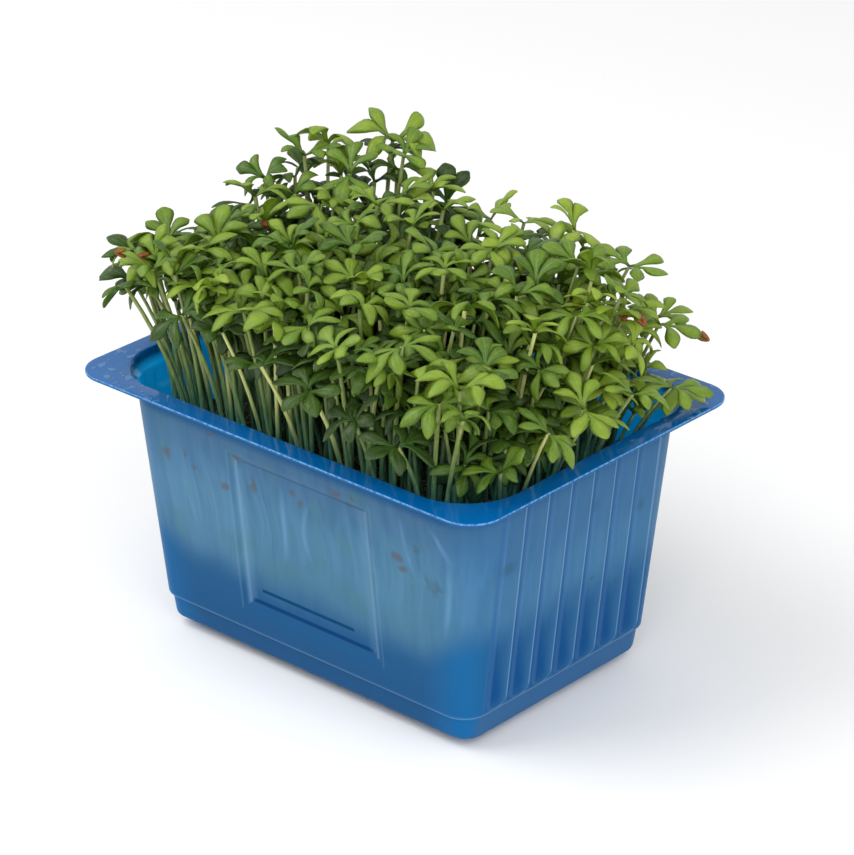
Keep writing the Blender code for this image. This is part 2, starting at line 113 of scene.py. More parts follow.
LABEL_LEFT = -0.0225
LABEL_RIGHT = 0.0275
LABEL_TOP_DEPTH = 0.0110
LABEL_BOTTOM_DEPTH = 0.0600
LABEL_BEVEL = 0.0026
LABEL_RELIEF = 0.0009
LABEL_CORNER = 0.0012
# Where the mesh has points, in shares of the label recess's bevel
LABEL_STOPS = (-0.2, 0.0, 0.2, 0.4, 0.6, 0.8, 1.0, 1.2)

SIDE_SPACING = 0.0024
WALL_ROWS = 24
WALL_ROW_SPACING = 0.0008
TALL_BAND = 0.04
FILLET_STEPS = 4
FILLET_SHARE = 0.48
SHARP_ANGLE = math.radians(50)

# How far and how strongly the sheet's creases show pale, partly as the thinner sheet and partly as
# painted highlight
PANEL_CREASE_REACH = 1.3
PANEL_DIM_EDGE = 0.15
LABEL_CREASES = (0.42, 0.30)
# Outer line's strength and reach, inner line's place and reach, in shares of the bevel
LABEL_LINES = (0.35, 0.5, 0.95, 0.42)
STEP_CREASE = 0.45
STEP_LINE = 0.0005
EDGE_LINE_INSET = 0.00045
EDGE_LINE_DEPTH = 0.0006

# Growing medium and the clumps' places, the same rule as the solids'
GAP = 0.0003
MEDIUM_DEPTH = 0.018
MEDIUM_CORNER = 0.0115
MEDIUM_FLOOR_INSET = 0.020
MEDIUM_TOP = TRAY_HEIGHT - MEDIUM_DEPTH
CLUMP_COLUMNS = 9
CLUMP_ROWS = 6
CLUMP_REACH_X = 0.0535
CLUMP_REACH_Y = 0.0355
CLUMP_JITTER = 0.0012
STEM_RING_RADIUS = 0.0013
STEM_ROOT_DEPTH = 0.0030

# Seeds of the random draws. Those of the solids' seedlings are the same as in the solids
SEED = 41
MEMBER_SEEDS = 1000
EXTRA_SEEDS = 7000
CRESS_SEED = SEED * 100
COAT_SEED = SEED * 300
BED_SEED = SEED * 500
HAIR_SEED = SEED * 700

# Seedlings, the same rule as the solids'
SEEDLINGS_PER_CLUMP = 3
CANOPY_MIDDLE = 0.037
CANOPY_SLOPE_Y = 0.003
CANOPY_FALL_X = 0.020
CANOPY_FALL_POWER = 4
# Place, radius and rise of each patch that stands higher or lower
CANOPY_PATCHES = (
    (-0.040, 0.036, 0.010, 0.007),
    (-0.018, 0.038, 0.017, -0.013),
    (0.008, 0.037, 0.011, -0.008),
    (0.008, 0.010, 0.014, -0.004),
    (0.030, 0.037, 0.010, -0.005),
    (0.046, 0.037, 0.013, -0.020),
    (0.056, 0.020, 0.010, -0.006),
    (-0.054, -0.008, 0.014, -0.009),
)
HEIGHT_SHARES = (1.0, 0.86, 0.72)
HEIGHT_SPREAD = 0.07
BARE_PLACE = Vector((-0.035, -0.038, 0.0))
BARE_RADIUS = 0.030
BARE_LIFT = 0.65
EDGE_LEAN = 0.009
CLUMP_SPREAD = 0.0052
LEAN_JITTER = 0.0035
LEAN_TILT = 18.0
TILT = 0.35
TURN_JITTER = 0.5
SIZES = (0.90, 1.12)
RISES = (-0.15, 0.75)
DROOPS = (-0.15, 0.25)
SKEW = 0.06
STEM_RADIUS = 0.00085
STEM_TAPER = 0.8
STEM_POWER = 1.7
STEM_STOPS = (0.0, 0.55, 1.0)
LEAFLETS = 6
LEAFLET_LENGTH = 0.0107
LEAFLET_WIDTH = 0.0050
LEAFLET_WIDEST = 0.62
LEAFLET_FAN = math.radians(50)
LEAFLET_RIDGE = 0.0007
SIDE_LEAFLET = 0.88
SIDE_LEAFLET_DROP = 0.12
NOTCH_RADIUS = 0.0014
HEAD_TOP = 0.0005
HEAD_BOTTOM = 0.0004
FIT_TRIES = 90
FIT_SHRINK = 0.30
CLEARANCE = 0.00025
# Clump, seedling and leaflet that carry a seed coat
SEED_COATS = ((0, 0, 0), (26, 1, 3), (49, 1, 4), (49, 0, 4))

# The photo's camera, as fitted to the rim and the wall's step line
VIEW_AZIMUTH = math.radians(41.65)
VIEW_ELEVATION = math.radians(25.74)
VIEW_DISTANCE = 1.017
VIEW_RIGHT = 0.00637
VIEW_DOWN = 0.01205
VIEW_LENS = 164.8
VIEW_SENSOR = 36.0
VIEW_CLIP = (0.01, 20.0)


# What the colours and the powers among a user's settings share
COLOUR = {"subtype": "COLOR", "size": 3, "min": 0.0, "max": 1.0}
POWER = {"subtype": "POWER", "unit": "POWER", "min": 0.0}


class TrayLook(bpy.types.PropertyGroup):
    plastic: FloatVectorProperty(
        name="Plastic", description="Blue of the rim and the inside of the tray",
        default=srgb(0, 97, 168), **COLOUR)
    haze: FloatVectorProperty(
        name="Haze", description="Milky blue where roots and fibre lie behind the wall",
        default=srgb(75, 117, 146), **COLOUR)
    deep: FloatVectorProperty(
        name="Deep blue", description="Blue of the wall below the roots",
        default=srgb(31, 81, 126), **COLOUR)
    # Pale crease lines: partly the thinner sheet and partly painted highlight
    edge: FloatVectorProperty(
        name="Edges", description="Pale blue of the wall's creases",
        default=srgb(140, 178, 212), **COLOUR)
    gloss: FloatProperty(
        name="Gloss", description="Roughness of the rim's smooth side",
        default=0.10, subtype="FACTOR", min=0.0, max=1.0)


class CressLook(bpy.types.PropertyGroup):
    leaf: FloatVectorProperty(
        name="Leaf", description="Middle green of the leaflets",
        default=srgb(72, 106, 24), **COLOUR)
    # Also carries the painted light on leaves at the tray's right end
    leaf_light: FloatVectorProperty(
        name="Light leaf", description="Yellow green of young leaflets",
        default=srgb(140, 164, 44), **COLOUR)
    stem: FloatVectorProperty(
        name="Stem", description="Green of the stems above the rim",
        default=srgb(116, 132, 58), **COLOUR)
    stem_low: FloatVectorProperty(
        name="Stem foot", description="Blue green of the stems inside the tray",
        default=srgb(54, 108, 80), **COLOUR)
    extra_per_clump: IntProperty(
        name="Extra seedlings", description="Seedlings tried between each clump and the next",
        default=9, min=0, max=16)


class StageLook(bpy.types.PropertyGroup):
    floor: FloatVectorProperty(
        name="Floor", description="Colour of the plain floor",
        default=(0.94, 0.94, 0.94), **COLOUR)
    key_power: FloatProperty(
        name="Key light", description="Power of the soft box at the upper left",
        default=8.0, **POWER)
    fill_power: FloatProperty(
        name="Fill light", description="Power of the soft box at the right",
        default=3.8, **POWER)
    front_power: FloatProperty(
        name="Front light", description="Power of the soft box over the camera",
        default=3.6, **POWER)
    sky: FloatProperty(
        name="Surround", description="Strength of the white surround",
        default=0.66, min=0.0)


# Materials: arithmetic on sockets, and one way to add any other node
class Wire:
    """A socket of a material's node. Arithmetic on it adds Math nodes."""

    def __init__(self, finish, socket):
        self.finish = finish
        self.socket = socket

    def apply(self, operation, *values):
        made = self.finish.node("ShaderNodeMath", {"operation": operation}, dict(enumerate(values)))
        return made[0]

    def __add__(self, other):
        return self.apply("ADD", self, other)

    def __sub__(self, other):
        return self.apply("SUBTRACT", self, other)

    def __rsub__(self, other):
        return self.apply("SUBTRACT", other, self)

    def __mul__(self, other):
        return self.apply("MULTIPLY", self, other)

    def __truediv__(self, other):
        return self.apply("DIVIDE", self, other)

    def __rtruediv__(self, other):
        return self.apply("DIVIDE", other, self)

    def __abs__(self):
        return self.apply("ABSOLUTE", self)

    __radd__ = __add__
    __rmul__ = __mul__

    def sign(self):
        return self.apply("SIGN", self)

    def fraction(self):
        return self.apply("FRACT", self)

    def between(self, low, high):
        """Smooth rise from 0 at low to 1 at high."""
        return self.finish.node("ShaderNodeMapRange", {"interpolation_type": "SMOOTHSTEP"}, {
            "Value": self, "From Min": low, "From Max": high, "To Min": 0.0, "To Max": 1.0})[0]

    def clamped(self, low=0.0, high=1.0):
        return self.apply("MINIMUM", self.apply("MAXIMUM", self, low), high)


class Finish:
    """A material that is built from sockets and expressions."""

    def __init__(self, name):
        self.material = bpy.data.materials.new(name)
        self.material.use_nodes = True
        self.tree = self.material.node_tree
        self.shader = self.tree.nodes["Principled BSDF"]

    def node(self, kind, settings, values):
        """Add a node, set it up, fill its sockets and return its outputs."""
        made = self.tree.nodes.new(kind)
        for name, value in settings.items():
            setattr(made, name, value)
        self.fill(made, values)
        return [Wire(self, socket) for socket in made.outputs if socket.enabled]

    def fill(self, made, values):
        """Set or link a node's sockets, by their numbers or names."""
        for name, value in values.items():
            if isinstance(name, int):
                socket = made.inputs[name]
            else:
                socket = next(item for item in made.inputs if item.enabled and item.name == name)
            if isinstance(value, Wire):
                self.tree.links.new(value.socket, socket)
            else:
                socket.default_value = value

    def vector(self, operation, values):
        return self.node("ShaderNodeVectorMath", {"operation": operation}, values)[0]

    def place(self):
        """Object coordinates in millimetres: the vector and its three parts."""
        outputs = self.node("ShaderNodeTexCoord", {}, {})
        spot = next(wire for wire in outputs if wire.socket.name == "Object")
        scaled = self.vector("SCALE", {"Vector": spot, "Scale": 1.0 / MM})
        return scaled, self.node("ShaderNodeSeparateXYZ", {}, {"Vector": scaled})

    def stretched(self, vector, factors):
        return self.vector("MULTIPLY", {0: vector, 1: factors})

    def noise(self, vector, scale, detail=2.0, rough=0.5):
        return self.node("ShaderNodeTexNoise", {}, {
            "Vector": vector, "Scale": scale, "Detail": detail, "Roughness": rough})[0]

    def mark(self, name):
        """A number that the mesh carries at each point."""
        outputs = self.node("ShaderNodeAttribute", {"attribute_name": name}, {})
        return next(wire for wire in outputs if wire.socket.name == "Fac")

    def blend(self, factor, first, second):
        return self.node("ShaderNodeMix", {"data_type": "RGBA"}, {
            "Factor": factor, "A": self.colour(first), "B": self.colour(second)})[0]

    def layered(self, base, *layers):
        """Lay colours over a base in turn, each as strongly as its mask says."""
        for mask, colour in layers:
            base = self.blend(mask, base, colour)
        return base

    def colour(self, value):
        return value if isinstance(value, Wire) else (*value, 1.0)

    def bump(self, height, distance, strength=1.0):
        return self.node("ShaderNodeBump", {}, {
            "Height": height, "Distance": distance, "Strength": strength})[0]

    def surface(self, **values):
        names = {"base": "Base Color", "rough": "Roughness", "normal": "Normal", "ior": "IOR",
                 "specular": "Specular IOR Level", "subsurface": "Subsurface Weight",
                 "radius": "Subsurface Radius", "depth": "Subsurface Scale",
                 "emission": "Emission Color", "emission_strength": "Emission Strength"}
        self.fill(self.shader, {names[key]: value for key, value in values.items()})
        return self.material


# Meshes
def add_piece(name, points, faces, materials, marks=None, face_materials=None):
    """Make a smooth mesh object from points and faces, riding on the object's one body."""
    mesh = bpy.data.meshes.new(name)
    mesh.from_pydata([tuple(point) for point in points], [], faces)
    for item in materials:
        mesh.materials.append(item)
    mesh.polygons.foreach_set("use_smooth", [True] * len(faces))
    if face_materials:
        mesh.polygons.foreach_set("material_index", face_materials)
    for mark, values in (marks or {}).items():
        mesh.attributes.new(mark, "FLOAT", "POINT").data.foreach_set("value", values)
    mesh.validate()
    piece = bpy.data.objects.new(name, mesh)
    bpy.context.scene.collection.objects.link(piece)
    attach(piece, "root")
    return piece


def smooth(share):
    share = min(max(share, 0.0), 1.0)
    return share * share * (3.0 - 2.0 * share)


def inside_distance(x, y, half_x, half_y, corner):
    """How far a point lies inside a rounded rectangle round the origin."""
    over_x = abs(x) - half_x + corner
    over_y = abs(y) - half_y + corner
    outside = math.hypot(max(over_x, 0.0), max(over_y, 0.0))
    return corner - outside - min(max(over_x, over_y), 0.0)


# Tray
def side_stops(half, marks):
    """Places along a straight side: even ones and those that its relief needs."""
    count = round(2 * half / SIDE_SPACING)
    even = [-half + 2 * half * step / count for step in range(count + 1)]
    kept = sorted(set(round(value, 6) for value in marks if abs(value) < half - GAP))
    free = [value for value in even
            if all(abs(value - other) > SIDE_SPACING / 3 for other in kept)]
    stops = sorted(kept + free)
    return stops[1:-1] if abs(stops[0] + half) < GAP / 3 else stops


def panel_middles():
    return [(index - (PANEL_COUNT - 1) / 2) * PANEL_PITCH for index in range(PANEL_COUNT)]


def short_side_stops():
    """Points across a short side, dense at the panels' edges."""
    steps = [PANEL_WIDTH / 2 - stop for stop in PANEL_STOPS]
    marks = [middle + sign * step
             for middle in panel_middles() for step in steps for sign in (-1, 1)]
    marks += [middle + PANEL_PITCH / 2 for middle in panel_middles()[:-1]]
    return side_stops(STRAIGHT_HALF_Y, marks)


def long_side_stops():
    """Points along a long side, dense at the label recess's edges."""
    marks = []
    for edge, inward in ((LABEL_LEFT, 1), (LABEL_RIGHT, -1)):
        marks += [edge + inward * LABEL_BEVEL * share for share in LABEL_STOPS]
    return side_stops(STRAIGHT_HALF_X, marks)


def ring_points(inset_x, inset_y, corner, depth, long_stops, short_stops):
    """One ring of the tray, anticlockwise from the +X +Y corner."""
    half_x = TRAY_LENGTH / 2 - inset_x
    half_y = TRAY_WIDTH / 2 - inset_y
    height = TRAY_HEIGHT - depth
    run_x = (half_x - corner) / STRAIGHT_HALF_X
    run_y = (half_y - corner) / STRAIGHT_HALF_Y
    sides = ([(-x * run_x, half_y) for x in long_stops],
             [(-half_x, -y * run_y) for y in short_stops],
             [(x * run_x, -half_y) for x in long_stops],
             [(half_x, y * run_y) for y in short_stops])
    points = []
    for quarter, (sx, sy) in enumerate(((1, 1), (-1, 1), (-1, -1), (1, -1))):
        for step in range(CORNER_STEPS + 1):
            angle = math.radians(90) * (quarter + step / CORNER_STEPS)
            points.append((sx * (half_x - corner) + corner * math.cos(angle),
                           sy * (half_y - corner) + corner * math.sin(angle)))
        points += sides[quarter]
    return [Vector((x, y, height)) for x, y in points]


def rounded(rows):
    """Round the corners of a profile, whose rows end with the rounding's reach."""
    profile = [Vector(row[:4]) for row in rows]
    made = [profile[0]]
    for index in range(1, len(profile) - 1):
        before, here, after = profile[index - 1:index + 2]
        reach = rows[index][4]
        if reach == 0.0:
            made.append(here)
            continue
        back, on = before - here, after - here
        start = here + back * min(reach / back.length, FILLET_SHARE)
        end = here + on * min(reach / on.length, FILLET_SHARE)
        for step in range(FILLET_STEPS + 1):
            share = step / FILLET_STEPS
            bend = start * (1 - share) ** 2 + here * 2 * share * (1 - share)
            made.append(bend + end * share ** 2)
    made.append(profile[-1])
    return made


def wall_rows(top, bottom):
    """Rows down the wall, dense at the ends of the panels and of the label recess."""
    depths = {PANEL_TOP_DEPTH, PANEL_TOP_DEPTH + PANEL_SLOPE}
    depths |= {PANEL_BOTTOM_DEPTH - step * PANEL_FOOT_SPACING
               for step in range(PANEL_FOOT_ROWS + 1)}
    for edge, inward in ((LABEL_TOP_DEPTH, 1), (LABEL_BOTTOM_DEPTH, -1)):
        depths |= {edge + inward * LABEL_BEVEL * share for share in LABEL_STOPS}
    low, high = top[3], bottom[3]
    depths = {depth for depth in depths if low < depth < high}
    for step in range(1, WALL_ROWS):
        depth = low + (high - low) * step / WALL_ROWS
        if all(abs(depth - other) > WALL_ROW_SPACING for other in depths):
            depths.add(depth)
    return [top + (bottom - top) * ((depth - low) / (high - low)) for depth in sorted(depths)]


def tray_profile():
    """Rings from the foot's underside up the outside, over the rim and down the inside."""
    floor = TRAY_HEIGHT - FOOT_DEPTH
    low_x, low_y = FOOT_INSET_X + FOOT_DRAFT, FOOT_INSET_Y + FOOT_DRAFT
    half = SHEET / 2

    def even(inset, corner, depth, rounding):
        return inset, inset, corner, depth, rounding

    def on_rim(share):
        return even(RIM_WIDTH * share, RIM_CORNER + (OPENING_CORNER - RIM_CORNER) * share, 0.0, 0.0)

    # Insets along x and y, corner radius, depth below the rim and reach of the rounding
    return rounded([
        (low_x, low_y, FOOT_CORNER - FOOT_DRAFT, TRAY_HEIGHT, 0.0),
        (FOOT_INSET_X, FOOT_INSET_Y, FOOT_CORNER, floor, 0.0003),
        even(PLINTH_INSET, PLINTH_CORNER, floor, 0.0014),
        even(PLINTH_TOP_INSET, PLINTH_TOP_CORNER, PLINTH_TOP_DEPTH, 0.0003),
        even(STEP_INSET, STEP_CORNER, STEP_DEPTH, 0.0004),
        even(WALL_TOP_INSET, WALL_TOP_CORNER, WALL_TOP_DEPTH, 0.0008),
        even(RIM_WIDTH - half, OPENING_CORNER + half, SHOULDER_DEPTH, 0.0012),
        even(RIM_WIDTH - SHEET, OPENING_CORNER + SHEET, SHEET, 0.0006),
        even(0.0, RIM_CORNER, SHEET, 0.0003),
        even(0.0, RIM_CORNER, 0.0, 0.0003),
        on_rim(0.12),
        on_rim(0.40),
        even(RIM_WIDTH, OPENING_CORNER, 0.0, 0.0011),
        even(RIM_WIDTH + half, OPENING_CORNER - half, SHOULDER_DEPTH - half, 0.0009),
        even(WALL_TOP_INSET + SHEET, WALL_TOP_CORNER - SHEET, WALL_TOP_DEPTH - SHEET / 4, 0.0008),
        even(STEP_INSET + SHEET, STEP_CORNER - SHEET, STEP_DEPTH - SHEET, 0.0004),
        even(PLINTH_TOP_INSET + SHEET, PLINTH_TOP_CORNER - SHEET, PLINTH_TOP_DEPTH - SHEET, 0.0003),
        even(PLINTH_INSET + SHEET, PLINTH_CORNER - SHEET, floor - SHEET, 0.0010),
        (FOOT_INSET_X + SHEET, FOOT_INSET_Y + SHEET, FOOT_CORNER - SHEET, floor - SHEET, 0.0003),
        (low_x + SHEET, low_y + SHEET, FOOT_CORNER - FOOT_DRAFT - SHEET, TRAY_HEIGHT - SHEET, 0.0),
    ])


def tray_rings():
    """The profile with extra rows on both sides of the wall, and its first ring on the inside."""
    rings = []
    profile = tray_profile()
    for before, after in zip(profile, profile[1:]):
        rings.append(before)
        if (after - before).length > TALL_BAND and abs(after[3] - before[3]) > TALL_BAND:
            down = after[3] > before[3]
            rings += wall_rows(before, after) if down else wall_rows(after, before)[::-1]
    rings.append(profile[-1])
    peak = min(range(len(rings)), key=lambda index: (rings[index][0], rings[index][3]))
    return rings, peak


def wall_relief(point):
    """How far the sheet stands out of the plain wall there, its crease's painted highlight and its
    share of a panel.
    """
    depth = TRAY_HEIGHT - point.z
    if not WALL_TOP_DEPTH < depth < STEP_DEPTH:
        return 0.0, 0.0, 0.0
    down_wall = (depth - WALL_TOP_DEPTH) / (STEP_DEPTH - WALL_TOP_DEPTH)
    inset = WALL_TOP_INSET + down_wall * (STEP_INSET - WALL_TOP_INSET)
    to_short = TRAY_LENGTH / 2 - inset - abs(point.x)
    to_long = TRAY_WIDTH / 2 - inset - abs(point.y)
    if to_short < 2 * SHEET and abs(point.y) < STRAIGHT_HALF_Y:
        middle = min(panel_middles(), key=lambda value: abs(value - point.y))
        tall = (PANEL_BOTTOM_DEPTH - PANEL_TOP_DEPTH) / 2
        down = depth - (PANEL_BOTTOM_DEPTH + PANEL_TOP_DEPTH) / 2
        corner = PANEL_CORNER if down > 0 else MM / 4
        inside = inside_distance(point.y - middle, down, PANEL_WIDTH / 2, tall, corner)
        share = inside / PANEL_SLOPE
        # Painted highlight: strong on one side of each panel and dim on the other, as the light
        # falls
        strength = 1.0 if (point.y - middle) * point.x > 0 else PANEL_DIM_EDGE
        crease = max(0.0, 1.0 - abs(share - 0.5) / PANEL_CREASE_REACH) * strength
        return PANEL_RELIEF * smooth(share), crease, smooth(share)
    if to_long < 2 * SHEET and abs(point.x) < STRAIGHT_HALF_X:
        along = math.copysign(point.x, -point.x * point.y)
        across = along - (LABEL_LEFT + LABEL_RIGHT) / 2
        down = depth - (LABEL_TOP_DEPTH + LABEL_BOTTOM_DEPTH) / 2
        wide = (LABEL_RIGHT - LABEL_LEFT) / 2
        tall = (LABEL_BOTTOM_DEPTH - LABEL_TOP_DEPTH) / 2
        share = inside_distance(across, down, wide, tall, LABEL_CORNER) / LABEL_BEVEL
        # Upright edges have a faint painted highlight line outside the bevel and a clear one inside
        # it
        faint, faint_reach, place, reach = LABEL_LINES
        edge = max(0.0, faint - abs(share) / faint_reach, 1.0 - abs(share - place) / reach)
        upright = wide - abs(across) < tall - abs(down)
        strength = LABEL_CREASES[0 if across < 0 else 1] if upright else 0.0
        return -LABEL_RELIEF * smooth(share), strength * edge, 0.0
    return 0.0, 0.0, 0.0


def build_tray(look):
    """The tray's sheet as one closed mesh of rings, with its relief moved into the rings."""
    long_stops, short_stops = long_side_stops(), short_side_stops()
    rings, peak = tray_rings()
    points = []
    marks = {"crease": [], "panel": [], "rim_edge": []}
    for number, ring in enumerate(rings):
        half_x = TRAY_LENGTH / 2 - ring[0]
        step_line = max(0.0, 1.0 - abs(ring[3] - STEP_DEPTH) / STEP_LINE) if number < peak else 0.0
        rim_edge = (max(0.0, 1.0 - ring[0] / EDGE_LINE_INSET)
                    * min((SHEET - ring[3]) / EDGE_LINE_DEPTH, 1.0))
        for point in ring_points(*ring, long_stops, short_stops):
            stand, crease, panel = wall_relief(point)
            if stand:
                short = abs(abs(point.x) - half_x) < GAP and abs(point.y) < STRAIGHT_HALF_Y
                axis = 0 if short else 1
                way = Vector((0.0, 0.0, 0.0))
                way[axis] = math.copysign(1.0, point[axis])
                point = point + way * stand
            points.append(point)
            marks["crease"].append(max(crease, step_line * STEP_CREASE))
            marks["panel"].append(panel)
            marks["rim_edge"].append(rim_edge)
    size = len(points) // len(rings)
    faces = [list(range(size))[::-1]]
    kinds = [1]
    for band in range(len(rings) - 1):
        kind = 0 if band >= peak else 1 if rings[band + 1][3] > SHOULDER_DEPTH - MM / 2 else 2
        for index in range(size):
            after = (index + 1) % size
            here, there = band * size, (band + 1) * size
            faces.append((here + index, here + after, there + after, there + index))
            kinds.append(kind)
    faces.append(list(range(len(points) - size, len(points))))
    kinds.append(0)
    materials = [rim_finish(look), wall_finish(look), edge_finish()]
    tray = add_piece("tray_shell", points, faces, materials, marks, kinds)
    tray.data.set_sharp_from_angle(angle=SHARP_ANGLE)
    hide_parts("tray")


# Colours of the sheet itself, and of the painted light, highlights and glow on it
# Painted light: the inside is a paler, greener blue where light shines through the sheet
INSIDE_LIT_BLUE = srgb(16, 138, 198)
INSIDE_HIGHLIGHT_ARC = srgb(96, 196, 232)
INSIDE_PAINTED_GLOW = srgb(0, 82, 126)
WATER_DROP = srgb(110, 160, 204)
# Pale line along the rim's edge: partly wear and partly painted highlight
WEAR_AND_HIGHLIGHT_BLUE = srgb(88, 154, 208)
EDGE_BLUE = srgb(44, 90, 140)
WALL_SHINE = 0.03


def wear_and_highlight_line(finish, spot):
    """How strongly the pale line along the top of the rim's edge shows there: partly a worn edge
    and partly painted highlight.
    """
    worn = finish.noise(spot, 0.9, 3.0).between(0.36, 0.60)
    return finish.mark("rim_edge").between(0.62, 0.95) * (worn * 0.75 + 0.15)


def rim_finish(look):
    """Glossy blue of the rim and of the inside, where painted light makes it paler and greener,
    with painted highlight arcs and a painted glow.
    """
    finish = Finish("glossy_blue")
    spot, (x, y, z) = finish.place()
    inside = (74.5 - z).between(0.0, 2.5)
    # Painted highlight: pale arcs over the inside
    highlight_arcs = finish.noise(finish.stretched(spot, (0.06, 0.06, 0.35)), 1.0).between(0.52, 0.70)
    # Painted glow: emission that stands in for light through the sheet, stronger high on the inside
    painted_glow = finish.blend(inside * (z - 40.0).between(0.0, 25.0), (0.0, 0.0, 0.0), INSIDE_PAINTED_GLOW)
    # Pale drops of water lie on the rim by two of the tray's corners
    ends = (x * y / 60.0 - 30.0).between(0.0, 8.0) * (z - 75.7).between(0.0, 0.2)
    drop = finish.noise(finish.stretched(spot, (0.45, 0.32, 0.5)), 1.0, 1.0)
    drop = drop.between(0.58, 0.64) * ends
    line = wear_and_highlight_line(finish, spot)
    base = finish.layered(look.plastic, (inside, INSIDE_LIT_BLUE), (inside * highlight_arcs * 0.5, INSIDE_HIGHLIGHT_ARC),
                          (drop * 0.32, WATER_DROP), (line, WEAR_AND_HIGHLIGHT_BLUE))
    ripple = finish.noise(spot, 0.12)
    rough = look.gloss + (ripple - 0.5) * 0.06 + line * 0.3
    return finish.surface(base=base, rough=rough, ior=1.5, emission=painted_glow, emission_strength=1.0,
                          normal=finish.bump(ripple * 0.25 + drop, 0.0003, 0.6))


def edge_finish():
    """Matt blue of the rim's outer edge, with the pale line that is partly wear and partly painted
    highlight.
    """
    finish = Finish("rim_edge_blue")
    spot, _ = finish.place()
    base = finish.blend(wear_and_highlight_line(finish, spot), EDGE_BLUE, WEAR_AND_HIGHLIGHT_BLUE)
    return finish.surface(base=base, rough=0.3, specular=WALL_SHINE)


# What lies behind the walls, in millimetres. Seed coats and leaf scraps: place along the wall,
# to the right as seen from outside, height, half width and half height
LONG_WALL_COATS = (
    (-45, 56, 1.5, 2.3), (-38, 58, 0.8, 1.2), (-35, 55, 0.9, 0.9), (-24, 53.5, 1.9, 1.3),
    (-19.5, 62.5, 1.7, 1.1), (-14.5, 56, 0.9, 2.1), (-28, 68, 1.1, 0.9), (0, 59, 1.0, 1.0),
    (2.5, 56.5, 1.3, 1.3), (16, 64, 1.9, 1.4), (22, 65, 1.0, 1.0), (36, 53, 2.0, 1.5),
    (37.5, 50, 1.4, 1.2),
)
LONG_WALL_SCRAPS = (
    (19.5, 62.5, 1.8, 0.8), (9.5, 58.5, 0.6, 1.9), (42.5, 58, 0.6, 1.8), (46, 49, 1.1, 2.4),
    (48.5, 48.5, 1.8, 3.2),
)
SHORT_WALL_SCRAPS = (
    (-28, 53, 3.2, 1.9), (5.5, 58, 1.3, 2.0), (24.5, 51, 1.6, 2.2), (7.5, 35.5, 0.9, 0.7),
    (17.5, 30.5, 1.1, 0.6),
)
# Thick roots: along and up at the top, the same at the foot, and the bow
LONG_WALL_ROOTS = (
    (-4.7, 61.0, -5.2, 34.0, 0.3), (6.9, 60.0, 6.5, 36.0, -4.4), (38.0, 68.0, 42.4, 47.0, -1.2),
    (47.0, 67.0, 53.2, 55.0, 0.9), (52.9, 59.5, 49.5, 32.0, 0.6),
)
ROOT_WIDTH = 1.3
# Two plain bars at the foot of the label recess, and a line of painted shade along its upper edge:
# middle, length, height, thickness, strength and colour
LABEL_BARS = (
    (0.9, 32.6, 24.0, 1.05, 1.0, srgb(0, 62, 103)),
    (2.3, 42.4, 20.0, 1.35, 1.0, srgb(0, 58, 110)),
    (3.5, 42.0, 62.6, 0.6, 0.6, srgb(48, 78, 106)),
)

# Colours of what shows through the frosted walls, and of the painted light and shade on them
DEEP_SHORT = srgb(30, 86, 135)
DEEP_TOP = srgb(35, 86, 129)
MILK_TOP = srgb(66, 104, 139)
MILK_LIGHT = srgb(88, 129, 157)
MILK_DARK = srgb(54, 98, 137)
MILK_GREEN = srgb(72, 114, 128)
MILK_STRAND = srgb(98, 146, 184)
MILK_CORNER = srgb(88, 130, 166)
MILK_SHORT = srgb(42, 98, 146)
SHEET_TOP = srgb(28, 88, 138)
CORNER_FOOT_HIGHLIGHT = srgb(22, 104, 162)
PANEL_SIDE_SHADE = srgb(0, 70, 128)
PANEL_SIDE_LIGHT = srgb(58, 112, 158)
PANEL_SHADE = srgb(50, 106, 152)
PANEL_GROOVE_SHADE = srgb(36, 88, 140)
PANEL_TOP = srgb(56, 97, 136)
SHORT_FOOT = srgb(52, 98, 144)
FIBRE_GREEN = srgb(58, 108, 130)
THICK_ROOT = srgb(110, 156, 194)
WALL_COAT = srgb(88, 88, 92)
LONG_SCRAP = srgb(66, 92, 104)
SHORT_SCRAP = srgb(46, 88, 112)


def milk_colour(finish, look, spot, z, short, corner, streak, wavy):
    """Roots and fibre of the medium's zone, in wavy strands that hang down the wall."""
    green = finish.noise(spot, 0.11).between(0.50, 0.72) * (1.0 - short * 0.6)
    milk = finish.layered(
        look.haze, ((z - 48.0).between(0.0, 8.0) * 0.8, MILK_TOP),
        ((streak - 0.42).clamped(), MILK_LIGHT), ((0.46 - streak).clamped() * 2.0, MILK_DARK),
        (green * 0.55, MILK_GREEN))
    hanging = (z - 32.0).between(0.0, 10.0) * (62.0 - z).between(0.0, 8.0)
    for scale, weight in ((0.15, 0.22), (0.36, 0.14)):
        level = finish.noise(finish.stretched(wavy, (scale, scale, 0.010)), 1.0, 1.0)
        strand = 1.0 - abs(level - 0.5).between(0.0, 0.09)
        milk = finish.blend(strand * hanging * weight, milk, MILK_STRAND)
    return finish.layered(
        milk, (corner * (1.0 - abs(z - 50.0).between(4.0, 14.0)) * 0.35, MILK_CORNER),
        (short * 0.45, MILK_SHORT), ((z - 66.5).between(0.0, 3.5), SHEET_TOP))


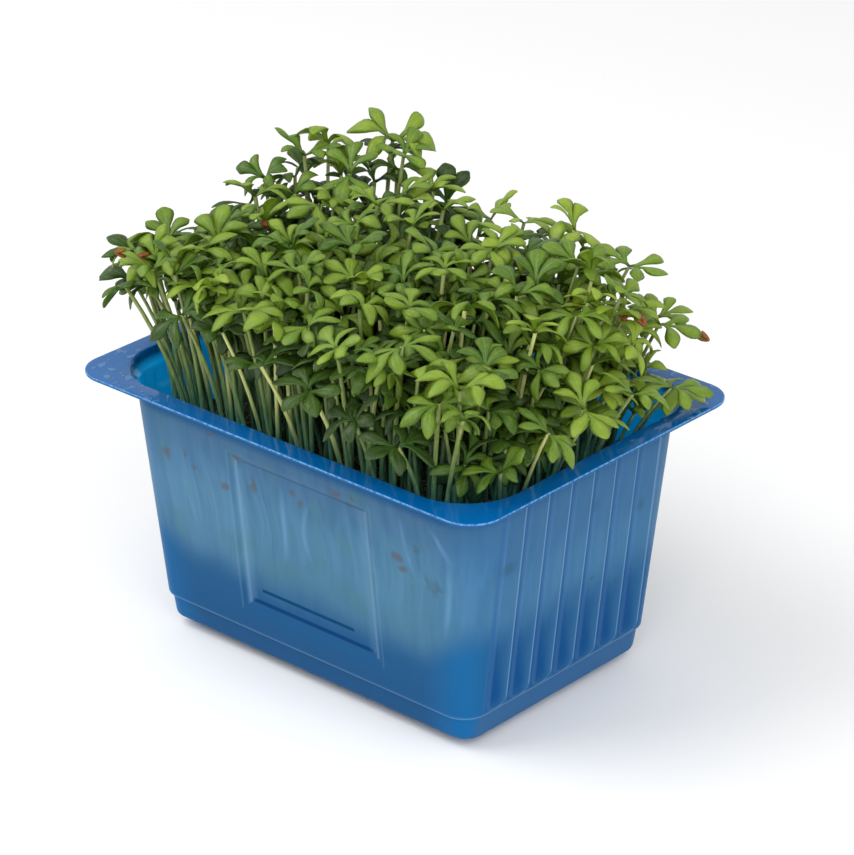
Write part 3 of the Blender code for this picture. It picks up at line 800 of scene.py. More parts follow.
def wall_finish(look):
    """Frosted sheet of the outer wall: roots, fibre and seed coats show through it in soft blue,
    with painted light and shade on the panels, in their grooves and low round the corners.
    """
    finish = Finish("frosted_blue")
    spot, (x, y, z) = finish.place()
    panel = finish.mark("panel")
    cloud = finish.noise(spot, 0.05, 3.0)
    # 0 along a long wall, rising to 1 over its last centimetres and on the short wall
    short = (abs(x) + (76.0 - z) * 0.11).between(45.0, 63.0)
    corner = short * (abs(y) + (76.0 - z) * 0.11).between(33.0, 44.0)
    on_long = (abs(y) - 36.0).between(0.0, 1.0) * (54.0 - abs(x)).between(0.0, 1.0)
    on_short = (abs(x) - 54.0).between(0.0, 1.0) * (34.0 - abs(y)).between(0.0, 1.0)
    # Places along the walls, to the right as seen from outside
    long_along = x * (y * -1.0).sign()
    short_along = y * x.sign()
    # Roots fill the wall down to a soft border, which is higher round the corners
    border = 27.5 + short * 6.5 + (cloud - 0.5) * 8.0
    roots = (z - border).between(-7.0, 7.0)
    # Strands are level lines of a noise that is bent and stretched down the wall
    slow = finish.stretched(spot, (0.015, 0.015, 0.030))
    bend = finish.node("ShaderNodeTexNoise", {}, {"Vector": slow, "Scale": 1.0, "Detail": 1.0})[1]
    wavy = finish.vector("MULTIPLY_ADD", {0: bend, 1: (12.0, 12.0, 0.0), 2: spot})
    streak = finish.noise(finish.stretched(wavy, (0.30, 0.30, 0.03)), 1.0, 3.0)
    milk = milk_colour(finish, look, spot, z, short, corner, streak, wavy)
    deep = finish.layered(look.deep, (short, DEEP_SHORT),
                          ((z - 13.0).between(0.0, 9.0) * 0.5, DEEP_TOP))
    # Painted shade and light across every panel: deep blue shade along its left side at the foot
    # and a paler blue along its right side
    across = (short_along / (PANEL_PITCH / MM) + 0.5).fraction()
    on_panels = ((32.0 - abs(y)).between(0.0, 1.5) * (abs(x) - 50.0).between(0.0, 1.0)
                 * (z - 10.4).between(0.0, 0.4))
    side_shade = 1.0 - (across + (z - 16.0).clamped(0.0, 60.0) / 40.0).between(0.30, 0.80)
    side_shade = side_shade * (z - 10.5).between(0.0, 5.0)
    plinth = (11.0 - z).between(0.0, 0.6)
    short_foot = (abs(x) - 50.0).between(0.0, 1.0) * (34.0 - abs(y)).between(0.0, 4.0) * plinth
    # Greener fibre behind the label recess and to its right, and a few thick roots
    fibre = on_long * roots * (long_along + 27.0).between(0.0, 6.0) * (62.0 - z).between(0.0, 8.0)
    thick = strand_mask(long_along, z, LONG_WALL_ROOTS) * (abs(y) - 30.0).between(0.0, 2.0)
    wall = finish.layered(
        finish.blend(roots, deep, milk),
        # Painted highlight: brighter cyan low round the corners
        (corner * (1.0 - roots) * (0.6 + plinth * 0.3), CORNER_FOOT_HIGHLIGHT),
        # Painted shade on each panel's left side and painted light on its right side
        (on_panels * side_shade * 0.9, PANEL_SIDE_SHADE),
        (on_panels * across.between(0.45, 1.0) * (1.0 - roots) * 0.5, PANEL_SIDE_LIGHT),
        (on_panels * (1.0 - across.between(0.1, 0.9)) * roots * 0.35, PANEL_SHADE),
        # Painted shade in the grooves between the panels
        (on_panels * (1.0 - panel) * 0.6, PANEL_GROOVE_SHADE),
        (panel * (z - 44.0).between(0.0, 10.0) * 0.40, PANEL_TOP),
        (short_foot, SHORT_FOOT), (fibre * 0.28, FIBRE_GREEN),
        (thick * (0.10 + streak * 0.40), THICK_ROOT))
    # Seed coats and scraps, with uneven outlines
    warp = finish.noise(spot, 0.45)
    along, up = long_along + (warp - 0.5) * 5.0, z + (cloud - 0.5) * 4.0
    wall = finish.layered(
        wall, (spots_mask(finish, along, up, LONG_WALL_COATS) * on_long * 0.75, WALL_COAT),
        (spots_mask(finish, along, up, LONG_WALL_SCRAPS) * on_long * 0.6, LONG_SCRAP),
        (spots_mask(finish, short_along, up, SHORT_WALL_SCRAPS) * on_short * 0.6, SHORT_SCRAP))
    # Plain bars at the recess's foot, and painted shade along its upper edge
    for middle, length, height, thickness, strength, colour in LABEL_BARS:
        bar = bar_mask(long_along, z, middle, length, height, thickness)
        wall = finish.blend(bar * on_long * strength, wall, colour)
    # Pale crease lines over the wall: partly the thinner sheet and partly painted highlight
    base = finish.blend(finish.mark("crease") * 0.85, wall, look.edge)
    ripple = finish.noise(finish.stretched(spot, (0.25, 0.25, 0.12)), 1.0)
    return finish.surface(base=base, rough=0.34 + (cloud - 0.5) * 0.1, ior=1.5,
                          specular=WALL_SHINE, normal=finish.bump(ripple, 0.0002, 0.5))


def spots_mask(finish, along, up, spots):
    """1 inside any of several small soft ovals on a wall, and 0 elsewhere."""
    here = finish.node("ShaderNodeCombineXYZ", {}, {"X": along, "Y": up})[0]
    nearest = None
    for middle, height, wide, tall in spots:
        scaled = finish.vector("MULTIPLY_ADD", {
            0: here, 1: (1 / wide, 1 / tall, 0.0), 2: (-middle / wide, -height / tall, 0.0)})
        away = finish.vector("LENGTH", {0: scaled})
        nearest = away if nearest is None else away.apply("MINIMUM", away, nearest)
    return 1.0 - nearest.between(0.20, 1.45)


def strand_mask(along, up, strands):
    """1 along thin curved roots on a wall, fading at their ends, and 0 elsewhere."""
    mask = 0.0
    for top_along, top, foot_along, foot, bow in strands:
        share = (top - up) * (1.0 / (top - foot))
        bend = (share - share * share) * (4.0 * bow)
        middle = share * (foot_along - top_along) + bend + top_along
        near = 1.0 - abs(along - middle).between(0.0, ROOT_WIDTH)
        mask = near * share.between(0.0, 0.35) * (1.0 - share.between(0.55, 1.0)) + mask
    return mask


def bar_mask(along, z, middle, length, height, thickness):
    """1 inside a level bar on the wall and 0 outside, in millimetres."""
    across = (length / 2 - abs(along - middle)).between(-0.15, 0.25)
    upright = (thickness / 2 - abs(z - height)).between(-0.15, 0.20)
    return across * upright


# Placing the clumps, as in the solids
def clump_places():
    """A jittered grid over the medium without its four corners."""
    places = []
    draw = random.Random(SEED)
    for row in range(CLUMP_ROWS):
        for column in range(CLUMP_COLUMNS):
            if row in (0, CLUMP_ROWS - 1) and column in (0, CLUMP_COLUMNS - 1):
                continue
            across = 2 * column / (CLUMP_COLUMNS - 1) - 1
            along = 2 * row / (CLUMP_ROWS - 1) - 1
            step_x = draw.uniform(-CLUMP_JITTER, CLUMP_JITTER) * (1 - across ** 2)
            step_y = draw.uniform(-CLUMP_JITTER, CLUMP_JITTER) * (1 - along ** 2)
            places.append(Vector((CLUMP_REACH_X * across + step_x, CLUMP_REACH_Y * along + step_y,
                                  MEDIUM_TOP)))
    return places


def canopy_height(place):
    """Height of the leaves above the rim over a point of the medium."""
    across = place.x / CLUMP_REACH_X
    along = place.y / CLUMP_REACH_Y
    height = CANOPY_MIDDLE + CANOPY_SLOPE_Y * along
    height -= CANOPY_FALL_X * max(across, 0.0) ** CANOPY_FALL_POWER
    for x, y, radius, rise in CANOPY_PATCHES:
        height += rise * math.exp(-((place.x - x) ** 2 + (place.y - y) ** 2) / radius ** 2)
    return height


def bareness(place):
    """How far the short seedlings of a place are lifted towards full height."""
    away = math.hypot(place.x - BARE_PLACE.x, place.y - BARE_PLACE.y)
    return BARE_LIFT * math.exp(-(away / BARE_RADIUS) ** 2)


def around(angle):
    """The level direction at an angle."""
    return Vector((math.cos(angle), math.sin(angle), 0.0))


def sideways(draw, reach):
    """A random level step."""
    return Vector((draw.uniform(-reach, reach), draw.uniform(-reach, reach), 0.0))


def draw_seedling(place, member, draw, shrink):
    """Draw the free measures of one seedling of a clump."""
    turn = math.tau * (member / SEEDLINGS_PER_CLUMP) + draw.uniform(-TURN_JITTER, TURN_JITTER)
    out = around(turn)
    edge = Vector((place.x / CLUMP_REACH_X, place.y / CLUMP_REACH_Y, 0.0))
    lean = EDGE_LEAN * edge * min(edge.length, 1.0) + CLUMP_SPREAD * out
    lean += sideways(draw, LEAN_JITTER)
    share = HEIGHT_SHARES[member] + draw.uniform(-HEIGHT_SPREAD, HEIGHT_SPREAD)
    share += (1.0 - share) * bareness(place)
    tilt = sideways(draw, TILT)
    return {
        "foot": place + STEM_RING_RADIUS * out - Vector((0.0, 0.0, STEM_ROOT_DEPTH)),
        "height": STEM_ROOT_DEPTH + (MEDIUM_DEPTH + canopy_height(place)) * share,
        "lean": lean,
        "axis": (Vector((0.0, 0.0, 1.0)) + LEAN_TILT * lean + tilt).normalized(),
        "turn": draw.uniform(0.0, math.tau),
        "size": draw.uniform(*SIZES) * (1.0 - shrink),
        "rise": (draw.uniform(*RISES), draw.uniform(*RISES)),
        "skew": [draw.uniform(-SKEW, SKEW) for _ in range(LEAFLETS)],
        "droop": [draw.uniform(*DROOPS) for _ in range(LEAFLETS)],
    }


def stem_point(plant, share):
    rise = Vector((0.0, 0.0, plant["height"] * share))
    return plant["foot"] + rise + plant["lean"] * share ** STEM_POWER


def leaflet_frame(plant, index):
    """Direction, sideways direction, length, rise and turn of one of the six leaflets."""
    axis = plant["axis"]
    level = axis.orthogonal().normalized()
    cross = axis.cross(level)
    member = index % 3 - 1
    turn = plant["turn"] + math.pi * (index // 3) + LEAFLET_FAN * member + plant["skew"][index]
    out = level * math.cos(turn) + cross * math.sin(turn)
    side = axis.cross(out)
    length = LEAFLET_LENGTH * plant["size"] * (1.0 if member == 0 else SIDE_LEAFLET)
    rise = plant["rise"][index // 3] - (0.0 if member == 0 else SIDE_LEAFLET_DROP)
    return out, side, length, rise, turn


def leaflet_points(plant, index):
    """Right side, tip, left side and ridge of one leaflet."""
    out, side, length, rise, _ = leaflet_frame(plant, index)
    axis = plant["axis"]
    head = stem_point(plant, 1.0)
    reach = LEAFLET_WIDEST * length
    middle = head + out * reach * math.cos(rise) + axis * reach * math.sin(rise)
    fall = rise - plant["droop"][index]
    rest = (1.0 - LEAFLET_WIDEST) * length
    tip = middle + out * rest * math.cos(fall) + axis * rest * math.sin(fall)
    half = side * (LEAFLET_WIDTH / 2 * plant["size"])
    return middle - half, tip, middle + half, middle + axis * LEAFLET_RIDGE


def seedling_hull(plant):
    """The solid's own mesh of a seedling, which keeps seedlings clear of each other."""
    axis = plant["axis"]
    level = axis.orthogonal().normalized()
    cross = axis.cross(level)
    head = stem_point(plant, 1.0)
    points, faces = [], []
    for share in STEM_STOPS:
        radius = STEM_RADIUS * (1.0 + (STEM_TAPER - 1.0) * share)
        middle = stem_point(plant, share) - (axis * HEAD_BOTTOM if share == 1.0 else Vector())
        for side in range(3):
            angle = plant["turn"] + math.tau * side / 3
            points.append(middle + radius * (level * math.cos(angle) + cross * math.sin(angle)))
    for band in range(len(STEM_STOPS) - 1):
        for side in range(3):
            after = (side + 1) % 3
            here, there = 3 * band, 3 * band + 3
            faces.append((here + side, here + after, there + after))
            faces.append((here + side, there + after, there + side))
    faces.append((2, 1, 0))
    ring = 3 * (len(STEM_STOPS) - 1)
    turns = [leaflet_frame(plant, index)[4] for index in range(6)]
    notches = []
    for index in range(6):
        before = turns[index - 1] - (math.tau if index == 0 else 0.0)
        angle = (before + turns[index]) / 2
        rise = (plant["rise"][(index - 1) % 6 // 3] + plant["rise"][index // 3]) / 2
        out = level * math.cos(angle) + cross * math.sin(angle)
        notches.append(len(points))
        points.append(head + NOTCH_RADIUS * (out * math.cos(rise) + axis * math.sin(rise)))
    top = len(points)
    points.append(head + axis * HEAD_TOP)
    nearest = (0, 0, 0, 1, 1, 2)
    for index in range(6):
        after = notches[(index + 1) % 6]
        notch = notches[index]
        right = len(points)
        tip, left, ridge = right + 1, right + 2, right + 3
        points += leaflet_points(plant, index)
        faces += [(ridge, notch, right), (ridge, right, tip), (ridge, tip, left),
                  (ridge, left, after), (ridge, after, top), (ridge, top, notch)]
        faces += [(right, notch, left), (tip, right, left), (left, notch, after)]
        here, there = ring + nearest[index], ring + nearest[(index + 1) % 6]
        faces.append((notch, here, after))
        if here != there:
            faces.append((after, here, there))
    return points, faces


def swollen(points, faces):
    """The same points moved outwards by the clearance that neighbours keep."""
    shape = bmesh.new()
    corners = [shape.verts.new(point) for point in points]
    for face in faces:
        shape.faces.new([corners[index] for index in face])
    shape.normal_update()
    moved = [corner.co + corner.normal * CLEARANCE for corner in corners]
    shape.free()
    return moved


def box_of(points):
    low = [min(point[axis] for point in points) for axis in range(3)]
    high = [max(point[axis] for point in points) for axis in range(3)]
    return low, high


def boxes_meet(one, other):
    return all(one[0][axis] <= other[1][axis] and other[0][axis] <= one[1][axis]
               for axis in range(3))


def fits(plant, tray_tree, standing):
    """Stand a seedling among the others if it crosses none of them."""
    points, faces = seedling_hull(plant)
    outside = swollen(points, faces)
    tree = BVHTree.FromPolygons(outside, faces)
    box = box_of(outside)
    near = (other for reach, other in standing if boxes_meet(box, reach))
    if tree.overlap(tray_tree) or any(tree.overlap(other) for other in near):
        return False
    standing.append((box_of(points), BVHTree.FromPolygons(points, faces)))
    return True


def grow_seedlings(places, tray_tree):
    """The solids' seedlings: tall ones first, none crossing another or the tray."""
    grown, standing = [], []
    for member in range(SEEDLINGS_PER_CLUMP):
        for number, place in enumerate(places):
            draw = random.Random(SEED + MEMBER_SEEDS * member + number)
            for attempt in range(FIT_TRIES):
                plant = draw_seedling(place, member, draw, FIT_SHRINK * attempt / FIT_TRIES)
                if fits(plant, tray_tree, standing):
                    grown.append((number, member, plant))
                    break
            else:
                raise RuntimeError(f"Seedling {member + 1} of clump {number + 1} finds no room")
    return grown


# Extra seedlings between those of the solids
EXTRA_TRIES = 14
EXTRA_SPREAD = 0.0068
EXTRA_REACH_X = 0.0560
EXTRA_REACH_Y = 0.0380
EXTRA_SHORTER = 0.33
EXTRA_HEIGHTS = (0.98, 1.03)
EXTRA_SIZES = (0.86, 1.24)
EXTRA_RISES = (0.0, 0.95)
EXTRA_DROOPS = (0.2, 1.2)
EXTRA_SKEW = 0.20
EXTRA_TILT = 0.7
HEAD_SPACE = 0.0056
FOOT_SPACE = 0.0015
OPENING_HALF_X = 0.0600
OPENING_HALF_Y = 0.0420
RIM_CLEAR = 0.0025
OVERHANG = 0.4
BACK_GAPS = 0.45


def clear_of_rim(plant):
    """Whether the leaflets stay in the rim's opening, or pass it less than they stand above it."""
    for index in range(LEAFLETS):
        for point in leaflet_points(plant, index)[:3]:
            over = max(point.z - TRAY_HEIGHT - RIM_CLEAR, 0.0) * OVERHANG
            if abs(point.x) > OPENING_HALF_X + over or abs(point.y) > OPENING_HALF_Y + over:
                return False
    return True


def draw_extra(place, member, draw):
    """Draw an extra seedling, which varies more than those of the solids."""
    plant = draw_seedling(place, member, draw, 0.0)
    x = place.x + draw.uniform(-EXTRA_SPREAD, EXTRA_SPREAD)
    y = place.y + draw.uniform(-EXTRA_SPREAD, EXTRA_SPREAD)
    plant["foot"].x = min(max(x, -EXTRA_REACH_X), EXTRA_REACH_X)
    plant["foot"].y = min(max(y, -EXTRA_REACH_Y), EXTRA_REACH_Y)
    shorter = draw.uniform(0.0, EXTRA_SHORTER) * (1.0 - bareness(place) / BARE_LIFT)
    plant["height"] *= draw.uniform(*EXTRA_HEIGHTS) - shorter
    plant["size"] *= draw.uniform(*EXTRA_SIZES)
    plant["rise"] = (draw.uniform(*EXTRA_RISES), draw.uniform(*EXTRA_RISES))
    plant["droop"] = [draw.uniform(*EXTRA_DROOPS) for _ in range(LEAFLETS)]
    plant["skew"] = [draw.uniform(-EXTRA_SKEW, EXTRA_SKEW) for _ in range(LEAFLETS)]
    plant["axis"] = (plant["axis"] + sideways(draw, EXTRA_TILT)).normalized()
    plant["extra"] = True
    return plant


def grow_extras(places, per_clump, plants):
    """More seedlings in the gaps that the clumps leave, spaced by their heads and feet."""
    heads = [stem_point(plant, 1.0) for plant in plants]
    feet = [plant["foot"] for plant in plants]
    grown = []
    for turn in range(per_clump):
        for number, place in enumerate(places):
            draw = random.Random(SEED + EXTRA_SEEDS + MEMBER_SEEDS * turn + number)
            if draw.random() < BACK_GAPS * smooth(place.y / CLUMP_REACH_Y):
                continue
            for _ in range(EXTRA_TRIES):
                plant = draw_extra(place, turn % SEEDLINGS_PER_CLUMP, draw)
                head, foot = stem_point(plant, 1.0), plant["foot"]
                if (all((head - other).length >= HEAD_SPACE for other in heads)
                        and all((foot - other).length >= FOOT_SPACE for other in feet)
                        and clear_of_rim(plant)):
                    heads.append(head)
                    feet.append(foot)
                    grown.append((number, plant))
                    break
    return grown


# Fine seedlings
LEAF_ROWS = 9
LEAF_ROW_POWER = 1.5
LEAF_COLUMNS = (-1.0, -0.5, 0.0, 0.5, 1.0)
LEAF_THICKNESS = 0.00035
LEAF_WIDTHS = (0.92, 1.08)
CENTRE_WIDTH = 1.02
SIDE_WIDTH = 0.80
EXTRA_SLIM = 0.88
LEAF_CROWN = (0.0014, 0.0034)
CROWN_REACH = 0.12
LEAF_FALL = (0.0002, 0.0028)
LEAF_ARCH = (0.12, 0.50)
LEAF_ROLL = 0.35
RIB_DEPTH = 0.00012
RIB_HALF = 0.3
PETIOLE_SHARE = 0.30
PETIOLE_HALF = 0.00040
PETIOLE_FLARE = 1.3
STALK_REACH = 0.34
STALK_LIFT = 0.0004
EGG_SHIFT = 1.25
EGG_FULLNESS = 0.62
EGG_END = 0.985
STEM_ROWS = 8
STEM_SIDES = 6
STEM_THINNING = 0.25
STEM_BOW = 0.0006
STEM_GIRTHS = (0.85, 1.12)
FINE_STEM_RADIUS = 0.00070
PALE_SHARE = 0.13
PALE_TINT = 0.35
TONE_SPREAD = 0.15
# Painted shade darkens leaves deep below the canopy, and painted light brightens those at the
# tray's right end
SHADE_DEPTH = 0.016
LIGHT_START = 0.02
LIGHT_RUN = 0.04
LIGHT_TONE = 0.35
LIGHT_RELIEF = 0.8


class Growth:
    """Points, faces and marks of one clump's seedlings, gathered into one mesh."""

    def __init__(self):
        self.points = []
        self.faces = []
        self.kinds = []
        self.marks = {"tone": [], "along": [], "across": []}

    def point(self, spot, tone, along, across):
        self.points.append(spot)
        self.marks["tone"].append(tone)
        self.marks["along"].append(along)
        self.marks["across"].append(across)
        return len(self.points) - 1

    def face(self, corners, kind=0):
        self.faces.append(corners)
        self.kinds.append(kind)

    def tube(self, rows, kind=0):
        """Join rings of points into a tube with closed ends."""
        for low, high in zip(rows, rows[1:]):
            for side in range(len(low)):
                after = (side + 1) % len(low)
                self.face((low[side], low[after], high[after], high[side]), kind)
        self.face(rows[0][::-1], kind)
        self.face(rows[-1], kind)


def blade_half_width(share, half):
    """Half width along a leaflet: a narrow stalk, then an egg shape, widest towards the tip."""
    wedge = PETIOLE_HALF * (1.0 + PETIOLE_FLARE * min(share / PETIOLE_SHARE, 1.0) ** 2)
    if share <= PETIOLE_SHARE:
        return wedge
    blade = (share - PETIOLE_SHARE) / (1.0 - PETIOLE_SHARE)
    egg = half * math.sin(math.pi * min(blade ** EGG_SHIFT, EGG_END)) ** EGG_FULLNESS
    return max(egg, wedge * (1.0 - blade) ** 0.5)


def grow_leaflet(growth, plant, index, draw):
    """A thin arched leaflet with a closed edge, from the stem's head to the hull's tip."""
    _, side, length, _, _ = leaflet_frame(plant, index)
    right, tip, left, _ = leaflet_points(plant, index)
    axis = plant["axis"]
    head = stem_point(plant, 1.0)
    partner = leaflet_frame(plant, index // 3 * 3 + 1)
    stalk = partner[0] * math.cos(partner[3]) + axis * math.sin(partner[3])
    middle = (left + right) / 2
    first = head + stalk * length * STALK_REACH + axis * STALK_LIFT
    crown = draw.uniform(*LEAF_CROWN) * plant["size"]
    second = middle + (middle - head) * CROWN_REACH + axis * crown
    fall = draw.uniform(*LEAF_FALL) * plant["size"]
    if plant.get("held") != index:
        tip = tip - axis * fall
    width = CENTRE_WIDTH if index % 3 == 1 else SIDE_WIDTH
    half = LEAFLET_WIDTH / 2 * plant["size"] * width * draw.uniform(*LEAF_WIDTHS)
    half *= EXTRA_SLIM if plant.get("extra") else 1.0
    roll = draw.uniform(-LEAF_ROLL, LEAF_ROLL)
    arch = draw.uniform(*LEAF_ARCH)
    tone = plant["tone"] + draw.uniform(-TONE_SPREAD, TONE_SPREAD)
    top, under = [], []
    for row in range(LEAF_ROWS):
        left_over = (1.0 - row / (LEAF_ROWS - 1)) ** LEAF_ROW_POWER
        share = 1.0 - left_over
        spot = (head * left_over ** 3 + first * 3 * share * left_over ** 2
                + second * 3 * share ** 2 * left_over + tip * share ** 3)
        forward = ((first - head) * left_over ** 2 + (second - first) * 2 * share * left_over
                   + (tip - second) * share ** 2).normalized()
        up = forward.cross(side).normalized()
        level = side * math.cos(roll * share) + up * math.sin(roll * share)
        up = forward.cross(level).normalized()
        half_here = blade_half_width(share, half)
        end = row in (0, LEAF_ROWS - 1)
        top_row, under_row = [], []
        for across in LEAF_COLUMNS:
            groove = RIB_DEPTH * math.exp(-(across / RIB_HALF) ** 2) * smooth(share * 3 - 0.8)
            sink = arch * half_here * across ** 2 + groove
            spread = spot + level * half_here * across - up * sink
            top_row.append(growth.point(spread, tone, share, across))
            if abs(across) == 1.0 or end:
                under_row.append(top_row[-1])
            else:
                under_row.append(growth.point(spread - up * LEAF_THICKNESS, tone, share, across))
        top.append(top_row)
        under.append(under_row)
    for row in range(LEAF_ROWS - 1):
        for column in range(len(LEAF_COLUMNS) - 1):
            growth.face((top[row][column], top[row + 1][column],
                         top[row + 1][column + 1], top[row][column + 1]))
            growth.face((under[row][column], under[row][column + 1],
                         under[row + 1][column + 1], under[row + 1][column]))


def grow_stem(growth, plant):
    """A round stem from the medium up to the seed leaves, a little thicker at its foot."""
    rows = []
    for row in range(STEM_ROWS):
        share = row / (STEM_ROWS - 1)
        middle = stem_point(plant, share)
        middle += plant["bow"] * math.sin(math.pi * share)
        radius = FINE_STEM_RADIUS * plant["girth"] * (1.0 - STEM_THINNING * share)
        ring = []
        for side in range(STEM_SIDES):
            angle = math.tau * side / STEM_SIDES
            spot = middle + Vector((radius * math.cos(angle), radius * math.sin(angle), 0.0))
            ring.append(growth.point(spot, plant["pale"], share, plant["tone"]))
        rows.append(ring)
    growth.tube(rows, 1)


def grow_fine(growth, plant, draw):
    """A seedling's stem and leaflets, with a random tone plus painted shade and light that depend
    on where it stands.
    """
    foot = plant["foot"]
    shade = smooth((TRAY_HEIGHT + canopy_height(foot) - stem_point(plant, 1.0).z) / SHADE_DEPTH)
    light = smooth((foot.x + foot.y - LIGHT_START) / LIGHT_RUN)
    shade *= 1.0 - LIGHT_RELIEF * light
    plant["tone"] = draw.uniform(0.0, 1.0) + LIGHT_TONE * light - shade
    plant["pale"] = 1.0 if draw.random() < PALE_SHARE else draw.uniform(0.0, PALE_TINT)
    plant["girth"] = draw.uniform(*STEM_GIRTHS)
    plant["bow"] = sideways(draw, 1.0) * STEM_BOW
    grow_stem(growth, plant)
    for index in range(LEAFLETS):
        grow_leaflet(growth, plant, index, draw)


# Colours of the leaflets and stems, and the leaflets' painted shade
LEAF_SHADE = srgb(18, 38, 9)
LEAF_MARGIN_SHADE = srgb(54, 96, 24)
LEAF_RIB = srgb(160, 182, 88)
LEAF_VEIN = srgb(150, 178, 84)
STEM_STREAK = srgb(176, 190, 128)
STEM_CREAM = srgb(192, 196, 120)


def leaf_finish(look):
    """Satin leaf with a pale midrib, darker towards its base and different from leaf to leaf, with
    painted shade along its sides and painted shade and light by its place in the canopy.
    """
    finish = Finish("cress_leaf")
    spot, _ = finish.place()
    tone = finish.mark("tone")
    along = finish.mark("along")
    across = finish.mark("across")
    mottle = finish.noise(spot, 0.35, 3.0)
    fine = finish.noise(spot, 2.6)
    # Random tone, with the painted light of leaves at the tray's right end
    mix = (tone * 0.75 + (mottle - 0.5) * 0.8 + (fine - 0.5) * 0.25).clamped()
    # Painted shade on leaves deep below the canopy
    deep = (tone * -1.0).between(-0.42, 0.60)
    # Painted shade along each leaflet's sides, and darker towards its base
    margin_shade = abs(across).between(0.35, 1.0) * 0.30 + (1.0 - along).between(0.35, 0.85) * 0.30
    rib = (1.0 - abs(across).between(0.03, 0.20)) * (1.0 - along.between(0.55, 0.98))
    ladder = (along * 7.0 - abs(across) * 1.6).fraction()
    vein = (1.0 - abs(ladder - 0.5).between(0.02, 0.16)) * (along - 0.42).between(0.0, 0.08)
    shown = 1.0 - deep * 0.7
    base = finish.layered(look.leaf, (mix, look.leaf_light), (deep * 0.84, LEAF_SHADE),
                          (margin_shade, LEAF_MARGIN_SHADE), (rib * shown * 0.20, LEAF_RIB),
                          (vein * shown * 0.10, LEAF_VEIN))
    rough = 0.40 + (fine - 0.5) * 0.16
    height = fine * 0.4 + mottle * 0.6 - rib * 0.6 - vein * 0.35
    return finish.surface(base=base, rough=rough, normal=finish.bump(height, 0.00012, 0.7),
                          subsurface=0.18, radius=(0.9, 1.0, 0.25), depth=0.0012, specular=0.36)


def stem_finish(look):
    """Juicy stem, blue green inside the tray and paler green above it; a few are cream."""
    finish = Finish("cress_stem")
    spot, (_, _, z) = finish.place()
    pale = finish.mark("tone")
    streak = finish.noise(finish.stretched(spot, (1.5, 1.5, 0.12)), 1.0)
    cream = (pale.between(0.5, 1.0) * 0.75 + pale * 0.2) * (z - 70.0).between(0.0, 14.0)
    base = finish.layered(look.stem_low, ((z - 62.0).between(0.0, 34.0), look.stem),
                          ((streak - 0.4) * 0.9, STEM_STREAK), (cream, STEM_CREAM))
    return finish.surface(base=base, rough=0.38, subsurface=0.15, radius=(0.8, 1.0, 0.4),
                          depth=0.001, normal=finish.bump(streak, 0.0001, 0.5))


def build_cress(look):
    """One piece for each clump of the solids, with the extra seedlings that stand by it."""
    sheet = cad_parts["tray"].data
    corners = [corner.co.copy() for corner in sheet.vertices]
    tray_tree = BVHTree.FromPolygons(corners, [tuple(face.vertices) for face in sheet.polygons])
    places = clump_places()
    grown = grow_seedlings(places, tray_tree)
    stand = [(number, plant) for number, _, plant in grown]
    stand += grow_extras(places, look.extra_per_clump, [plant for _, plant in stand])
    carriers = coat_carriers(grown, [plant for _, plant in stand])
    materials = [leaf_finish(look), stem_finish(look)]
    for number in range(len(places)):
        draw = random.Random(CRESS_SEED + number)
        growth = Growth()
        for owner, plant in stand:
            if owner == number:
                grow_fine(growth, plant, draw)
        piece = add_piece(f"cress_{number + 1:02d}", growth.points, growth.faces, materials,
                          growth.marks, growth.kinds)
        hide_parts(f"cress_clump_{number + 1:02d}")
    return carriers


# Seed coats
HUSK_LENGTH = 0.0034
HUSK_WIDTH = 0.0021
HUSK_FLATNESS = 0.55
HUSK_OPEN = math.radians(20)
HUSK_OPENINGS = (0.8, 1.2)
HUSK_HINGE = 0.55
HUSK_MIDDLE = 0.46
HUSK_BANDS = 7
HUSK_SIDES = 10
HUSK_SLIT = 0.35
HUSK_SLIT_AT = 1.5
HUSK_FULLNESS = 0.85
HUSK_CRUMPLE = (0.94, 1.06)
HUSK_DARK = srgb(84, 44, 20)
HUSK_LIGHT = srgb(170, 106, 52)
# Places near which one more leaf tip still carries its seed coat
ADDED_COATS = (Vector((-0.049, -0.044, 0.111)), Vector((-0.039, -0.009, 0.112)),
               Vector((0.053, 0.025, 0.101)), Vector((0.061, 0.022, 0.104)))


def husk_points(growth, middle, along, side, across, length, width, draw):
    """A brown seed coat: an egg with a slit side, a little crumpled."""
    rows = []
    for band in range(1, HUSK_BANDS):
        angle = math.pi * band / HUSK_BANDS
        level = middle - along * length / 2 * math.cos(angle)
        ring = []
        for step in range(HUSK_SIDES):
            turn = math.tau * step / HUSK_SIDES
            slit = 1.0 - HUSK_SLIT * math.exp(-(step - HUSK_SLIT_AT) ** 2)
            plain = width / 2 * math.sin(angle) ** HUSK_FULLNESS * slit
            radius = plain * draw.uniform(*HUSK_CRUMPLE)
            spot = level + radius * (side * math.cos(turn) + across * math.sin(turn))
            ring.append(growth.point(spot, draw.random(), band / HUSK_BANDS, 0.0))
        rows.append(ring)
    low = growth.point(middle - along * length / 2, 0.5, 0.0, 0.0)
    high = growth.point(middle + along * length / 2, 0.5, 1.0, 0.0)
    for step in range(HUSK_SIDES):
        after = (step + 1) % HUSK_SIDES
        growth.face((low, rows[0][after], rows[0][step]))
        for below, above in zip(rows, rows[1:]):
            growth.face((below[step], below[after], above[after], above[step]))
        growth.face((high, rows[-1][step], rows[-1][after]))


